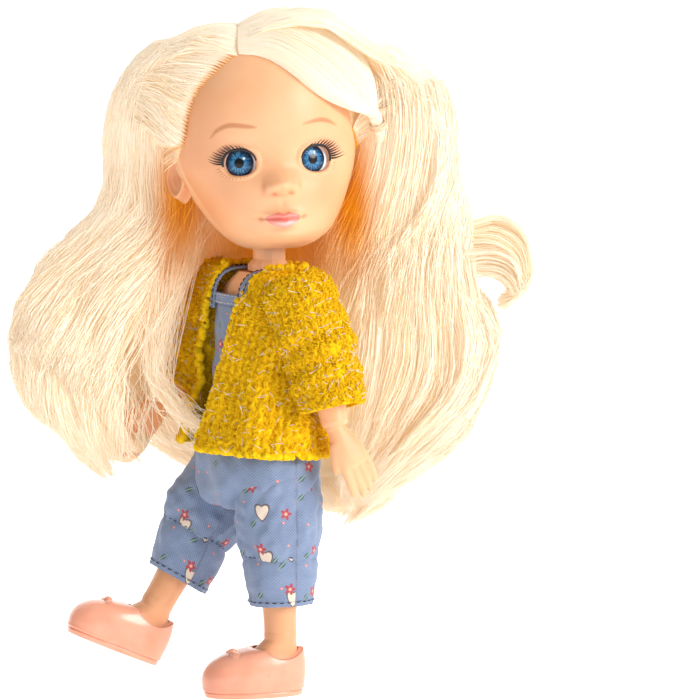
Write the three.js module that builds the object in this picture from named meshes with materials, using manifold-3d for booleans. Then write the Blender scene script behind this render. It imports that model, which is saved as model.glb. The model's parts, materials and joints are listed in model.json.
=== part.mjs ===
// A 16 cm jointed baby doll with rooted hair, a knit cardigan, a romper and slip-on shoes.
// Millimetres, +Z up. The torso faces -Y and +X is the doll's left. The origin is the
// middle of the left shoe's sole, which stands flat on the ground.

import * as THREE from 'three';
import { mergeVertices } from 'three/addons/utils/BufferGeometryUtils.js';
import Module from 'manifold-3d';

const wasm = await Module();
wasm.setup();

// Clearances and shared sizes
const seat = 0.3; // gap between pieces that rest on each other
const running = 0.12; // radial gap of a peg that turns in its bore
const overrun = 2; // how far a cutting tool passes the face that it cuts
const limbSides = 12;
const pegSides = 12;
const clothSides = 12;

// Pose, in degrees. A cuff's hang is how far it falls back per length of its drop.
const pose = {
  lean: -1.9,
  side: -0.7,
  neckTurn: 69,
  neckNod: -3,
  headTilt: -5.5,
  hairTurn: 60,
  arms: {
    left: { swing: 16.6, raise: -15.4, elbow: -8.6, hand: 19 },
    right: { swing: -20.5, raise: 8.5, elbow: -14, hand: -6 },
  },
  legs: {
    left: { swing: 2, spread: -4.3, knee: 0, toe: -14.7, hang: 0 },
    right: { swing: -27.5, spread: 6.5, knee: 0, ankle: 7.2, toe: -12.6, hang: 0.14 },
  },
};

// Torso shell, two halves that meet at the side seam. Heights are from the hip axis.
const torso = {
  wall: 1.8,
  keelBottom: -6.5,
  keelHalf: 2.7,
  roof: 6.5,
  bossRadius: 3,
  bossInset: 6.9,
  sectionSides: 14,
  innerSides: 12,
};
const torsoOutline = {
  heights: [-6.5, -3, 2.5, 10, 17, 26, 34, 38.5, 41, 43.6],
  halfWidths: [7, 11, 12.6, 12.1, 10.8, 10.8, 11.2, 12.4, 10.4, 6],
  halfDepths: [5, 7.6, 8.8, 8.6, 8, 8.3, 8.3, 7.8, 7, 5.6],
};

// Hips and legs
const hip = { apart: 17.4, ball: 5.7, shaft: 1.5, flange: 2.3, flangeThick: 0.9, flangeAt: 0.5 };
const leg = {
  thigh: 18.5,
  shin: 18.5,
  thighRadius: 5.7,
  kneeRadius: 4.3,
  calfRadius: 4.2,
  ankleRadius: 3.5,
};
const stalkShare = 0.65; // a peg's flat stalk, of its shaft's radius
const pinShare = 0.9; // a hinge pin's half length, of the limb's radius
const hipHinge = { tongue: 2.4, radius: 3.4, pin: 0.9 };
const knee = { tongue: 2.8, radius: 3.7, pin: 0.9, stalkShare: 0.75 };
const ankle = { ball: 3.2, tongue: 1.6, radius: 2.1, pin: 0.6, shaft: 1.1, shaftEnd: 8 };

// Shoulders and arms
const shoulder = { apart: 31, height: 39.2, ball: 4.7, shaft: 1.3, flange: 1.9, flangeThick: 1, flangeAt: 7 };
const arm = { upper: 15.5, fore: 14.5, topRadius: 4.5, elbowRadius: 3.7, wristRadius: 2.9 };
const shoulderHinge = { tongue: 2, radius: 2.8, pin: 0.7 };
const elbow = { tongue: 2.2, radius: 3.2, pin: 0.75, stalkShare: 0.75 };
const wrist = { ball: 2.6, tongue: 1.3, radius: 1.7, pin: 0.5, shaft: 0.95, shaftEnd: 6.6 };

// Hand: the palm hangs from the wrist ball, the thumb at the front, the palm towards the body
const hand = {
  palmLength: 7.2,
  palmHalf: 3.7,
  palmThick: 2,
  fingerShares: [0.86, 1, 0.95, 0.78],
  fingerRadius: 0.95,
  fingerTip: 0.68,
  fingerSpread: 1.95,
  longest: 8.4,
  thumbLength: 6.2,
  curl: 1.5,
  sides: 8,
  fingerSides: 5,
};

// Foot and shoe. Heights are from the sole that stands on the ground.
const shoe = {
  ankleHeight: 13.4,
  wall: 1.1,
  sole: 1.6,
  heelHeight: 1.5,
  heelLength: 7.2,
  archLength: 2.4,
  sides: 12,
  dipSides: 12,
  heelTaperShare: 0.16,
  dipRadius: 6.4,
  dipHeight: 14.8,
  dipBack: 0.4,
  footHeight: 7.6,
  instepForward: -2.2,
  soleForward: 9,
  bowHalf: 2.3,
  bowRadius: 1.2,
  bowLean: 16,
  bowHeight: 8.9,
  bowFront: 12,
  knotRadius: 1,
};
const shoeOutline = {
  heights: [0, 1.9, 4.7, 7, 8.6, 9.8, 10.6],
  fronts: [16.9, 17.6, 17.7, 16.4, 14.2, 11, 7.4],
  backs: [5.2, 5.6, 5.9, 5.9, 5.7, 5.5, 5.3],
  halfWidths: [5, 5.6, 5.95, 5.7, 5.2, 4.6, 4.1],
};

// Neck and head. Heights are from the nod axis.
const neck = { height: 50.6, back: 1, radius: 4.8, knob: 4.9, knobHeight: 4.4, groove: 3.7, grooveHeight: 3.4,
  rim: 4.5, rimThick: 1.2, flange: 3.9, flangeThick: 1.2, flangeDrop: 3.4, stem: 2.9, knobRoom: 0.9 };
const headOutline = {
  heights: [-2.8, -2, -0.6, 1.9, 5.8, 11.8, 17.8, 24.8, 31.8, 38.3, 43.6, 47, 48.8],
  halfWidths: [7, 10.5, 13.6, 16.6, 18.7, 19.9, 20.2, 20.6, 20.3, 18.4, 14.6, 9.4, 2],
  fronts: [6.5, 11, 16.2, 18.8, 20, 20.5, 20.3, 21.3, 20.9, 18.6, 14.6, 9.2, 1.8],
  backs: [7, 9.5, 12.5, 15.5, 18.6, 21.6, 23.4, 24.2, 23.8, 21.4, 17, 10.8, 2.2],
};
const head = { wall: 2.2, middle: 17.8, plainFrom: 24.8, columns: 36, faceColumnsShare: 0.6, coarse: 20 };
const face = {
  noseHeight: 11.9, noseRise: 3, noseHalf: 2.6, noseTall: 2.3,
  bridgeRise: 0.9, bridgeHeight: 16.8, bridgeTall: 4,
  lipHeight: 5.2, lipRise: 1.7, lipHalf: 3.8, lipTall: 2,
  mouthDip: 0.5, mouthTall: 0.8,
  chinHeight: 0.6, chinRise: 1.5, chinHalf: 4.2, chinTall: 3,
  cheekApart: 22, cheekHeight: 7.3, cheekRise: 1.2, cheekHalf: 5.6,
  socketDip: 1.3, socketHalf: 4.8, socketTall: 4,
};
const ear = { height: 13.3, back: 1.5, proud: 1.5, deep: 2.7, tall: 4.2 };
const eye = { apart: 16.9, height: 17.8, halfWidth: 4, halfHeight: 3.2, dome: 7.2, front: 17.4, depth: 7.5,
  turn: 22, sides: 18, lowerShare: 0.86 };
const lash = { reach: 1.7, inside: 3, thick: 0.5, startShare: 0.06, spanShare: 0.84, steps: 7, sides: 6 };
const carrier = { halfWidth: 10.8, halfHeight: 3.6, thick: 1.6 };

// Hair. Heights are from the nod axis, in a frame that is turned with the hair.
const hair = { layer: 2.9, lining: 0.9, nape: 1.2, sides: 12, lockSides: 8, partingColumn: 4,
  tieColumn: 8, fringeDrop: 4.6, fringeStartShare: 0.35, tieShare: 0.6,
  squareness: 2.4, flatStart: 0.5 };
const hairline = {
  sides: [-25, -21.6, -17.5, -11, -5, 2, 10, 17, 21.6, 25],
  heights: [17.8, 22.8, 30.8, 38.3, 43.2, 41, 36.2, 29.3, 22.8, 17.8],
};
const tie = { thick: 0.55 };

// Clothes
const cloth = { romper: 0.8, knit: 1.3 };
const romper = { armScoop: 8, strapHalf: 1.3, strapApart: 13.6, strapThick: 0.7, strapCrown: 43.9,
  strapSquareShare: 0.62, legShift: 0.7, gussetHalf: 3, gussetDrop: 5 };
const romperLeg = {
  drops: [-2, 3, 7, 12, 16, 19.2],
  halfWidths: [8.2, 8.5, 8.6, 8.6, 8.3, 7.2],
  halfDepths: [8.6, 9.2, 9.6, 9.6, 9.2, 8],
};
const romperCuff = {
  drops: [1, 2.4, 6, 9.6, 11.6],
  halfWidths: [7.2, 7.7, 7.5, 7, 6.6],
  halfDepths: [8, 8.5, 8.3, 7.7, 7.3],
};
const romperOutline = {
  heights: [-3.6, 0, 5, 11, 17, 26, 33, 36.6],
  halfWidths: [18.4, 18.4, 17, 14.4, 12.6, 12.4, 12.8, 13.2],
  halfDepths: [12.4, 12.4, 11.8, 10.6, 9.8, 9.8, 9.8, 9.5],
};
const cardigan = { gapLow: [-11.5, -0.8], gapHigh: [-6.5, 8.5], armhole: 5.5 };
const cardiganOutline = {
  heights: [4.6, 12, 20, 30, 37, 41, 43.4, 44.6],
  halfWidths: [20.4, 18.8, 17.2, 16.6, 16.2, 14.8, 12.4, 9.8],
  halfDepths: [16, 14.6, 13.2, 12.4, 11.8, 10.8, 9.8, 8.9],
};
const sleeve = {
  drops: [-6.2, -5.1, -2.6, 1.5, 8, 15.5, 20.5, 25.4],
  radii: [2.4, 4.9, 7.1, 8, 8.2, 8, 7.6, 7.3],
};

// Materials
const materials = {
  skin: new THREE.MeshStandardMaterial({ color: 0xf7c193, roughness: 0.48 }),
  plastic: new THREE.MeshStandardMaterial({ color: 0xf3b98c, roughness: 0.4 }),
  iris: new THREE.MeshStandardMaterial({ color: 0x2f6e9c, roughness: 0.08 }),
  lashes: new THREE.MeshStandardMaterial({ color: 0x241c1c, roughness: 0.5 }),
  hair: new THREE.MeshStandardMaterial({ color: 0xeedcc0, roughness: 0.35 }),
  elastic: new THREE.MeshStandardMaterial({ color: 0xf2e6d2, roughness: 0.3 }),
  denim: new THREE.MeshStandardMaterial({ color: 0x8390ad, roughness: 0.85 }),
  knit: new THREE.MeshStandardMaterial({ color: 0xe3ab16, roughness: 0.95 }),
  shoe: new THREE.MeshStandardMaterial({ color: 0xf4b09a, roughness: 0.28 }),
};

const degrees = THREE.MathUtils.degToRad;
const smoothShare = 0.5;

// The value of a smooth curve through a table of heights and values
function along(heights, values, height) {
  const last = heights.length - 1;
  const at = THREE.MathUtils.clamp(height, heights[0], heights[last]);
  let i = 0;
  while (i < last - 1 && at > heights[i + 1]) i += 1;
  const span = heights[i + 1] - heights[i];
  const t = (at - heights[i]) / span;
  const slope = (k) => {
    if (k <= 0) return (values[1] - values[0]) / (heights[1] - heights[0]);
    if (k >= last) return (values[last] - values[last - 1]) / (heights[last] - heights[last - 1]);
    return (values[k + 1] - values[k - 1]) / (heights[k + 1] - heights[k - 1]);
  };
  const t2 = t * t;
  const t3 = t2 * t;
  return (2 * t3 - 3 * t2 + 1) * values[i] + (t3 - 2 * t2 + t) * span * slope(i)
    + (3 * t2 - 2 * t3) * values[i + 1] + (t3 - t2) * span * slope(i + 1);
}

// A closed ring of points round a centre, on two perpendicular directions
function oval(centre, across, deep, halfAcross, halfDeep, sides, squareness = 2, startShare = 0) {
  const ring = [];
  for (let i = 0; i < sides; i += 1) {
    const turn = (2 * Math.PI * (i + startShare)) / sides;
    const c = Math.cos(turn);
    const s = Math.sin(turn);
    const x = Math.sign(c) * Math.abs(c) ** (2 / squareness) * halfAcross;
    const y = Math.sign(s) * Math.abs(s) ** (2 / squareness) * halfDeep;
    ring.push(centre.clone().addScaledVector(across, x).addScaledVector(deep, y));
  }
  return ring;
}

const xAxis = new THREE.Vector3(1, 0, 0);
const yAxis = new THREE.Vector3(0, 1, 0);
const zAxis = new THREE.Vector3(0, 0, 1);

function level(x, y, z, halfAcross, halfDeep, sides, squareness, startShare) {
  return oval(new THREE.Vector3(x, y, z), xAxis, yAxis, halfAcross, halfDeep, sides, squareness, startShare);
}

// A skin over rings of points, listed from the start of the form to its end, with both ends closed
function loft(rings) {
  const count = rings[0].length;
  const points = rings.flat();
  const index = [];
  for (let r = 0; r < rings.length - 1; r += 1) {
    for (let j = 0; j < count; j += 1) {
      const next = (j + 1) % count;
      const a = r * count + j;
      const b = r * count + next;
      index.push(a, b, b + count, a, b + count, a + count);
    }
  }
  const close = (ring, start, outward) => {
    const middle = new THREE.Vector3();
    ring.forEach((p) => middle.addScaledVector(p, 1 / count));
    points.push(middle);
    for (let j = 0; j < count; j += 1) {
      const pair = [start + j, start + ((j + 1) % count)];
      index.push(points.length - 1, ...(outward ? pair : pair.reverse()));
    }
  };
  close(rings[0], 0, false);
  close(rings[rings.length - 1], (rings.length - 1) * count, true);
  const geometry = new THREE.BufferGeometry();
  geometry.setAttribute('position', new THREE.Float32BufferAttribute(points.flatMap((p) => p.toArray()), 3));
  geometry.setIndex(index);
  return geometry;
}

// A tube along points, with a half width and a half depth at each, its width lying along one direction
function tube(points, widths, depths, sides, wide) {
  const rings = points.map((point, i) => {
    const before = points[Math.max(i - 1, 0)];
    const after = points[Math.min(i + 1, points.length - 1)];
    const way = after.clone().sub(before).normalize();
    const deep = way.clone().cross(wide).normalize();
    const across = deep.clone().cross(way).normalize();
    return oval(point, across, deep, widths[i], depths[i], sides);
  });
  return loft(rings);
}

function spot(x, y, z) {
  return new THREE.Vector3(x, y, z);
}

// A cylinder along an axis, between two places on it
function rod(axis, from, to, radius, sides = pegSides) {
  const shape = new THREE.CylinderGeometry(radius, radius, to - from, sides);
  shape.translate(0, (from + to) / 2, 0);
  if (axis === xAxis) shape.rotateZ(-Math.PI / 2);
  if (axis === zAxis) shape.rotateX(Math.PI / 2);
  return shape;
}

// A rod along X on the left (1) or right (-1), between two distances from the middle
function sideRod(side, near, far, radius, sides = pegSides) {
  return side > 0 ? rod(xAxis, near, far, radius, sides) : rod(xAxis, -far, -near, radius, sides);
}

function block(low, high) {
  const size = high.clone().sub(low);
  const middle = high.clone().add(low).multiplyScalar(1 / 2);
  return new THREE.BoxGeometry(size.x, size.y, size.z).translate(middle.x, middle.y, middle.z);
}

function ball(centre, radius, sides = limbSides) {
  return new THREE.SphereGeometry(radius, sides, sides / 2).rotateX(Math.PI / 2)
    .translate(centre.x, centre.y, centre.z);
}

function ellipsoid(centre, radii, sides = limbSides) {
  return new THREE.SphereGeometry(1, sides, sides / 2).rotateX(Math.PI / 2)
    .scale(radii.x, radii.y, radii.z).translate(centre.x, centre.y, centre.z);
}

// A round form turned from a profile of [radius, height] pairs that starts and ends on the axis
function turnedForm(profile, sides = pegSides) {
  const points = profile.map(([radius, height]) => new THREE.Vector2(radius, height));
  return new THREE.LatheGeometry(points, sides).rotateX(Math.PI / 2);
}

function toSolid(geometry) {
  const bare = geometry.clone();
  bare.deleteAttribute('normal');
  bare.deleteAttribute('uv');
  const merged = mergeVertices(bare);
  const corners = merged.index.array;
  const triVerts = [];
  for (let i = 0; i < corners.length; i += 3) {
    const [a, b, c] = [corners[i], corners[i + 1], corners[i + 2]];
    if (a !== b && b !== c && c !== a) triVerts.push(a, b, c);
  }
  const vertProperties = new Float32Array(merged.attributes.position.array);
  const mesh = new wasm.Mesh({ numProp: 3, vertProperties, triVerts: new Uint32Array(triVerts) });
  return new wasm.Manifold(mesh);
}

function toGeometry(solid) {
  const mesh = solid.getMesh();
  const geometry = new THREE.BufferGeometry();
  geometry.setAttribute('position', new THREE.BufferAttribute(new Float32Array(mesh.vertProperties), 3));
  geometry.setIndex(new THREE.BufferAttribute(new Uint32Array(mesh.triVerts), 1));
  return geometry;
}

// The first form joined with others and then cut by tools, all in the same frame
function shaped(form, joined = [], cuts = []) {
  let solid = toSolid(form);
  joined.forEach((other) => {
    solid = solid.add(toSolid(other));
  });
  cuts.forEach((tool) => {
    solid = solid.subtract(toSolid(tool));
  });
  return toGeometry(solid);
}

function common(form, other) {
  return toGeometry(toSolid(form).intersect(toSolid(other)));
}

// The same form, placed in another group's frame
function inFrame(geometry, from, to) {
  from.updateWorldMatrix(true, false);
  to.updateWorldMatrix(true, false);
  const change = to.matrixWorld.clone().invert().multiply(from.matrixWorld);
  return geometry.clone().applyMatrix4(change);
}

function frame(parent, name, x, y, z) {
  const group = new THREE.Group();
  group.name = name;
  group.position.set(x, y, z);
  parent.add(group);
  return group;
}

function place(group, name, geometry, material) {
  const mesh = new THREE.Mesh(geometry, material);
  mesh.name = name;
  group.add(mesh);
  return mesh;
}

const doll = new THREE.Group();
const pelvisFrame = frame(doll, 'pelvis', 0, 0, 0);
pelvisFrame.rotation.set(degrees(pose.lean), degrees(pose.side), 0, 'YXZ');

// Torso

function torsoSkin(inset, sides) {
  const { heights, halfWidths, halfDepths } = torsoOutline;
  const last = heights.length - 1;
  const rings = heights.map((z, i) => {
    let at = z;
    if (i === 0) at = z + inset;
    if (i === last) at = z - inset;
    return level(0, 0, at, halfWidths[i] - inset, halfDepths[i] - inset, sides, 2.3);
  });
  return loft(rings);
}

function hipTools(side) {
  const x = (side * hip.apart) / 2;
  const far = hip.apart;
  const inner = side > 0 ? torso.keelHalf : -far;
  const outer = side > 0 ? far : -torso.keelHalf;
  const reach = far;
  return [
    block(spot(inner, -reach, -reach), spot(outer, reach, 0)),
    block(spot(inner, -reach, -reach), spot(outer, 0, torso.roof)),
    rod(xAxis, inner, outer, torso.roof),
    ball(spot(x, 0, 0), hip.ball + seat),
  ];
}

function torsoHalf(front) {
  const reach = shoulder.apart;
  const keep = front ? block(spot(-reach, -reach, -reach), spot(reach, 0, reach * 2))
    : block(spot(-reach, seat / 2, -reach), spot(reach, reach, reach * 2));
  const shell = shaped(torsoSkin(0, torso.sectionSides), [], [torsoSkin(torso.wall, torso.innerSides)]);
  const keelBlock = block(
    spot(-torso.keelHalf, -torsoOutline.halfDepths[0], torso.keelBottom + torso.wall / 2),
    spot(torso.keelHalf, torsoOutline.halfDepths[0], torso.roof),
  );
  const floorWidth = torsoOutline.halfWidths[2] - torso.wall / 2;
  const floorDepth = torsoOutline.halfDepths[2] - torso.wall;
  const floor = block(
    spot(-floorWidth, -floorDepth, torso.roof - torso.wall / 2),
    spot(floorWidth, floorDepth, torso.roof + torso.wall),
  );
  const bosses = [1, -1].map((s) => sideRod(
    s,
    shoulder.apart / 2 - torso.bossInset,
    torsoOutline.halfWidths[7],
    torso.bossRadius,
  ).translate(0, 0, shoulder.height));
  const within = torsoSkin(torso.wall / 3, torso.sectionSides);
  const ribs = [floor, ...bosses].map((rib) => common(rib, within));
  const tools = [...hipTools(1), ...hipTools(-1)];
  [1, -1].forEach((s) => {
    const armX = shoulder.apart / 2;
    tools.push(ball(spot(s * armX, 0, shoulder.height), shoulder.ball + seat));
    const shoulderBore = sideRod(s, armX - shoulder.ball * 2, armX, shoulder.shaft + running);
    tools.push(shoulderBore.translate(0, 0, shoulder.height));
    const pocket = [hip.flangeAt - running, hip.flangeAt + hip.flangeThick + running];
    tools.push(sideRod(s, ...pocket, hip.flange + running));
    tools.push(sideRod(s, hip.flangeAt, torso.keelHalf + overrun, hip.shaft + running));
  });
  const top = torsoOutline.heights[torsoOutline.heights.length - 1];
  tools.push(rod(zAxis, top - torso.wall - overrun, top + overrun, neck.stem + running)
    .translate(0, neck.back, 0));
  const whole = toSolid(shaped(shell, [keelBlock, ...ribs], tools));
  return toGeometry(whole.intersect(toSolid(keep)));
}

place(pelvisFrame, 'torso_front', torsoHalf(true), materials.plastic);
place(pelvisFrame, 'torso_back', torsoHalf(false), materials.plastic);

// Neck and head

const neckFrame = frame(pelvisFrame, 'neck_turn', 0, neck.back, neck.height);
neckFrame.rotation.z = degrees(pose.neckTurn);
const headFrame = frame(neckFrame, 'neck_nod', 0, 0, 0);
headFrame.rotation.set(degrees(pose.neckNod), degrees(pose.headTilt), 0);

function neckKnob() {
  const collar = torsoOutline.heights[torsoOutline.heights.length - 1] - neck.height + seat;
  const inside = collar - neck.flangeDrop;
  const grooveTop = -neck.rimThick / 2;
  const grooveBottom = grooveTop - neck.grooveHeight;
  const chamfer = neck.knobHeight / 4;
  return turnedForm([
    [0, inside - neck.flangeThick],
    [neck.flange, inside - neck.flangeThick],
    [neck.flange, inside],
    [neck.stem, inside],
    [neck.stem, collar],
    [neck.radius, collar],
    [neck.radius, (collar + grooveBottom) / 2],
    [neck.groove, grooveBottom],
    [neck.groove, grooveTop],
    [neck.knob, grooveTop],
    [neck.knob, grooveTop + neck.knobHeight - chamfer],
    [neck.knob - chamfer, grooveTop + neck.knobHeight],
    [0, grooveTop + neck.knobHeight],
  ]);
}

function gauss(offset, spread) {
  return Math.exp(-((offset / spread) ** 2));
}

// How far the face stands proud of the plain head at a place on its front
function faceRise(x, z) {
  const f = face;
  let rise = f.noseRise * gauss(x, f.noseHalf) * gauss(z - f.noseHeight, f.noseTall);
  rise += f.bridgeRise * gauss(x, f.noseHalf) * gauss(z - f.bridgeHeight, f.bridgeTall);
  rise += f.lipRise * gauss(x, f.lipHalf) * gauss(z - f.lipHeight, f.lipTall);
  rise -= f.mouthDip * gauss(x, f.lipHalf) * gauss(z - f.lipHeight, f.mouthTall);
  rise += f.chinRise * gauss(x, f.chinHalf) * gauss(z - f.chinHeight, f.chinTall);
  [1, -1].forEach((s) => {
    const fromCheek = x - (s * f.cheekApart) / 2;
    rise += f.cheekRise * gauss(fromCheek, f.cheekHalf) * gauss(z - f.cheekHeight, f.cheekHalf);
    rise -= f.socketDip * gauss(x - (s * eye.apart) / 2, f.socketHalf) * gauss(z - eye.height, f.socketTall);
  });
  return rise;
}

const headLow = headOutline.heights[0];
const headHigh = headOutline.heights[headOutline.heights.length - 1];

// A ring of the head at one height, set out by a growth. The columns lie closer together on the face.
function headRing(z, growth, columns, featured) {
  const { heights, halfWidths, fronts, backs } = headOutline;
  const halfWidth = along(heights, halfWidths, z) + growth;
  const front = along(heights, fronts, z) + growth;
  const back = along(heights, backs, z) + growth;
  const pole = z > head.middle ? headHigh : headLow;
  const at = z + growth * Math.abs((z - head.middle) / (pole - head.middle)) * Math.sign(z - head.middle);
  const ring = [];
  const faceColumns = Math.round(columns * head.faceColumnsShare);
  for (let i = 0; i < columns; i += 1) {
    const onFace = i < faceColumns;
    const share = onFace ? i / faceColumns : (i - faceColumns) / (columns - faceColumns);
    const turn = onFace ? Math.PI * (1 + share) : Math.PI * share;
    const x = Math.cos(turn) * halfWidth;
    const deep = Math.sin(turn) * (onFace ? front : back);
    const rise = featured && onFace ? faceRise(x, z) * Math.abs(Math.sin(turn)) ** smoothShare : 0;
    ring.push(spot(x, deep - rise, at));
  }
  return ring;
}

// The head's skin at the heights of its outline and at steps between them, from one height up
function headSkin(growth, columns, steps, featured, low = headLow) {
  const { heights } = headOutline;
  const levels = [low];
  heights.forEach((z, i) => {
    if (i === 0) return;
    const parts = z > head.plainFrom ? 1 : steps;
    for (let k = 1; k <= parts; k += 1) {
      const at = heights[i - 1] + ((z - heights[i - 1]) * k) / parts;
      if (at > low + seat) levels.push(at);
    }
  });
  return loft(levels.map((z) => headRing(z, growth, columns, featured)));
}

// The almond outline of an eye, as a prism through the front of the head
function eyePrism(side, clearance, front, back) {
  const lean = degrees(side * eye.turn);
  const outline = (y) => {
    const ring = [];
    for (let i = 0; i < eye.sides; i += 1) {
      const turn = (2 * Math.PI * i) / eye.sides;
      const c = Math.cos(turn);
      const s = Math.sin(turn);
      const tall = (eye.halfHeight - clearance) * s * (s > 0 ? 1 : eye.lowerShare);
      ring.push(spot(c * (eye.halfWidth - clearance), y, tall));
    }
    return ring;
  };
  return loft([outline(back), outline(front)]).rotateZ(lean)
    .translate((side * eye.apart) / 2, -eye.front, eye.height);
}

function headShell() {
  const inner = headSkin(-head.wall, head.coarse, 1, false, headOutline.heights[2]);
  const ears = [1, -1].map((s) => ellipsoid(
    spot(s * (along(headOutline.heights, headOutline.halfWidths, ear.height)), ear.back, ear.height),
    spot(ear.proud, ear.deep, ear.tall),
    limbSides / 2,
  ));
  const hole = rod(zAxis, headLow - overrun, headOutline.heights[2] + overrun * 2, neck.rim);
  const rimTop = headOutline.heights[2] + overrun * 2;
  const rimRoom = rod(zAxis, headLow + neck.rimThick, rimTop, neck.knob + neck.knobRoom);
  const openings = [1, -1].map((s) => eyePrism(s, 0, -eye.depth / 2, eye.depth));
  return shaped(headSkin(0, head.columns, 2, true), ears, [inner, hole, rimRoom, ...openings]);
}

function eyeForm(side) {
  const lean = degrees(side * eye.turn);
  const plug = eyePrism(side, seat, -eye.depth / 2, eye.depth - seat);
  const dome = ball(spot(0, eye.dome, 0), eye.dome, eye.sides);
  const stem = rod(yAxis, eye.dome, eye.depth * 2, eye.dome);
  const body = shaped(dome, [stem]).rotateZ(lean).translate((side * eye.apart) / 2, -eye.front, eye.height);
  const rear = block(
    spot(-eye.apart * 2, -eye.front - overrun * 2, eye.height - eye.dome * 2),
    spot(eye.apart * 2, -eye.front + eye.depth - overrun, eye.height + eye.dome * 2),
  );
  return common(common(plug, body), rear);
}

function eyeCarrier() {
  const y = -eye.front + eye.depth - overrun + seat;
  return block(
    spot(-carrier.halfWidth, y, eye.height - carrier.halfHeight),
    spot(carrier.halfWidth, y + carrier.thick, eye.height + carrier.halfHeight),
  );
}

// Upper lashes: a strip along the lid's edge that stands out of the face
function lashStrip(side) {
  const points = [];
  for (let i = 0; i <= lash.steps; i += 1) {
    const share = lash.startShare + (lash.spanShare * i) / lash.steps;
    const turn = Math.PI * (side > 0 ? share : 1 - share);
    const x = Math.cos(turn) * (eye.halfWidth + lash.thick);
    points.push(spot(x, (lash.inside - lash.reach) / 2, Math.sin(turn) * (eye.halfHeight + lash.thick)));
  }
  const widths = points.map(() => (lash.inside + lash.reach) / 2);
  const depths = points.map(() => lash.thick / 2);
  const strip = tube(points, widths, depths, lash.sides, yAxis)
    .rotateZ(degrees(side * eye.turn)).translate((side * eye.apart) / 2, -eye.front, eye.height);
  return shaped(strip, [], [headSkin(seat, head.columns, 2, true)]);
}

place(neckFrame, 'neck_knob', neckKnob(), materials.plastic);
place(headFrame, 'head_shell', headShell(), materials.skin);
[['left', 1], ['right', -1]].forEach(([word, side]) => {
  place(headFrame, `eye_${word}`, eyeForm(side), materials.iris);
  place(headFrame, `lashes_${word}`, lashStrip(side), materials.lashes);
});
place(headFrame, 'eye_carrier', eyeCarrier(), materials.plastic);

// Hair. The cap is a layer over the skull, open over the face and round the ears.

const hairReach = headOutline.backs[7] * 2;

// A prism through the front of the head, outlined across and up
function facePrism(outline, back) {
  const shape = new THREE.Shape(outline.map(([x, z]) => new THREE.Vector2(x, z)));
  const prism = new THREE.ExtrudeGeometry(shape, { depth: hairReach, bevelEnabled: false });
  return prism.rotateX(Math.PI / 2).translate(0, back, 0);
}

function hairlineOutline(drop) {
  const { sides, heights } = hairline;
  const low = headLow - hair.layer - overrun;
  const top = sides.map((x, i) => [x, heights[i] - drop]);
  return [[sides[0], low], [sides[sides.length - 1], low], ...top.reverse()];
}

function hairCap() {
  const outer = headSkin(hair.layer, head.coarse, 1, false, hair.nape);
  const inner = headSkin(hair.lining, head.coarse, 1, false);
  const window = facePrism(hairlineOutline(0), ear.back + ear.deep + seat);
  return shaped(outer, [], [inner, window]);
}

// The swept fringe: the strip below the hairline, from the parting to the tie
function hairFringe() {
  const { sides, heights } = hairline;
  const first = hair.partingColumn;
  const last = hair.tieColumn;
  const upper = [];
  const lower = [];
  for (let i = first; i <= last; i += 1) {
    const share = (i - first) / (last - first);
    upper.push([sides[i], heights[i] - seat]);
    lower.push([sides[i], heights[i] - seat - hair.fringeDrop * (hair.fringeStartShare + share)]);
  }
  const strip = facePrism([...lower, ...upper.reverse()], -overrun);
  const outer = headSkin(hair.layer, head.coarse, 1, false, hair.nape);
  const inner = headSkin(hair.lining, head.coarse, 1, false);
  return toGeometry(toSolid(outer).subtract(toSolid(inner)).intersect(toSolid(strip)));
}

// A fall of hair: rows of [across, back, height, half width, half depth], grown by a clearance.
// It turns a flat side, not an edge, to the back.
function fall(rows, growth) {
  const rings = [...rows].reverse().map(([x, y, z, halfAcross, halfDeep]) => (
    level(x, y, z, halfAcross + growth, halfDeep + growth, hair.sides, hair.squareness, hair.flatStart)
  ));
  return loft(rings);
}

const falls = {
  right: [
    [-20, 2, 45.6, 6, 7], [-27.5, 3, 37, 8.6, 10], [-29.5, 5, 24.8, 8.6, 11], [-29, 8, 10.8, 7.5, 11],
    [-33, 11, -0.2, 8.4, 9], [-41, 14, -12.2, 10.5, 8], [-44, 15, -26.2, 11.5, 7],
    [-43, 16, -38.2, 10.5, 6.5], [-36.5, 17, -48.2, 7, 5.5], [-31, 18, -55.2, 2.5, 3],
  ],
  left: [
    [18.5, 4, 46.6, 6, 6], [27.5, 5, 37.8, 7.8, 8], [32, 6, 24.8, 8, 9], [34, 8, 11.8, 8, 9],
    [36, 11, 0.8, 8.5, 8], [41, 14, -11.2, 10.5, 7.5], [43, 15, -24.2, 12, 7],
    [38, 16, -38.2, 11.5, 6.5], [30, 18, -50.2, 9.5, 5.5], [24, 20, -62.2, 3, 3],
  ],
  back: [
    [0, 24, 11.8, 18, 5], [0, 25, 1.8, 22, 5.5], [0, 26, -12.2, 28, 6], [-2, 27, -26.2, 30, 6],
    [-2, 27.5, -40.2, 27, 5.5], [4, 28, -52.2, 20, 5], [12, 28, -62.2, 10, 4], [16, 28, -68.2, 3, 2.5],
  ],
};
const curl = [
  [46, 12, -2.2, 4.4], [51, 11, 3.4, 4.2], [56.4, 11, 3, 3.8], [58.6, 12, -3.6, 3.4], [57, 13, -9.2, 2],
];
const lock = [
  [24.2, -10.6, 29.2, 1.9], [25.8, -8.4, 25.4, 1.8], [27, -4.6, 19.8, 2.3], [27.2, 0, 12.8, 2.9],
];

function lockForm(growth) {
  const points = lock.map(([x, y, z]) => spot(x, y, z));
  const radii = lock.map(([, , , radius]) => radius + growth);
  return tube(points, radii, radii, hair.lockSides, yAxis);
}

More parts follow.
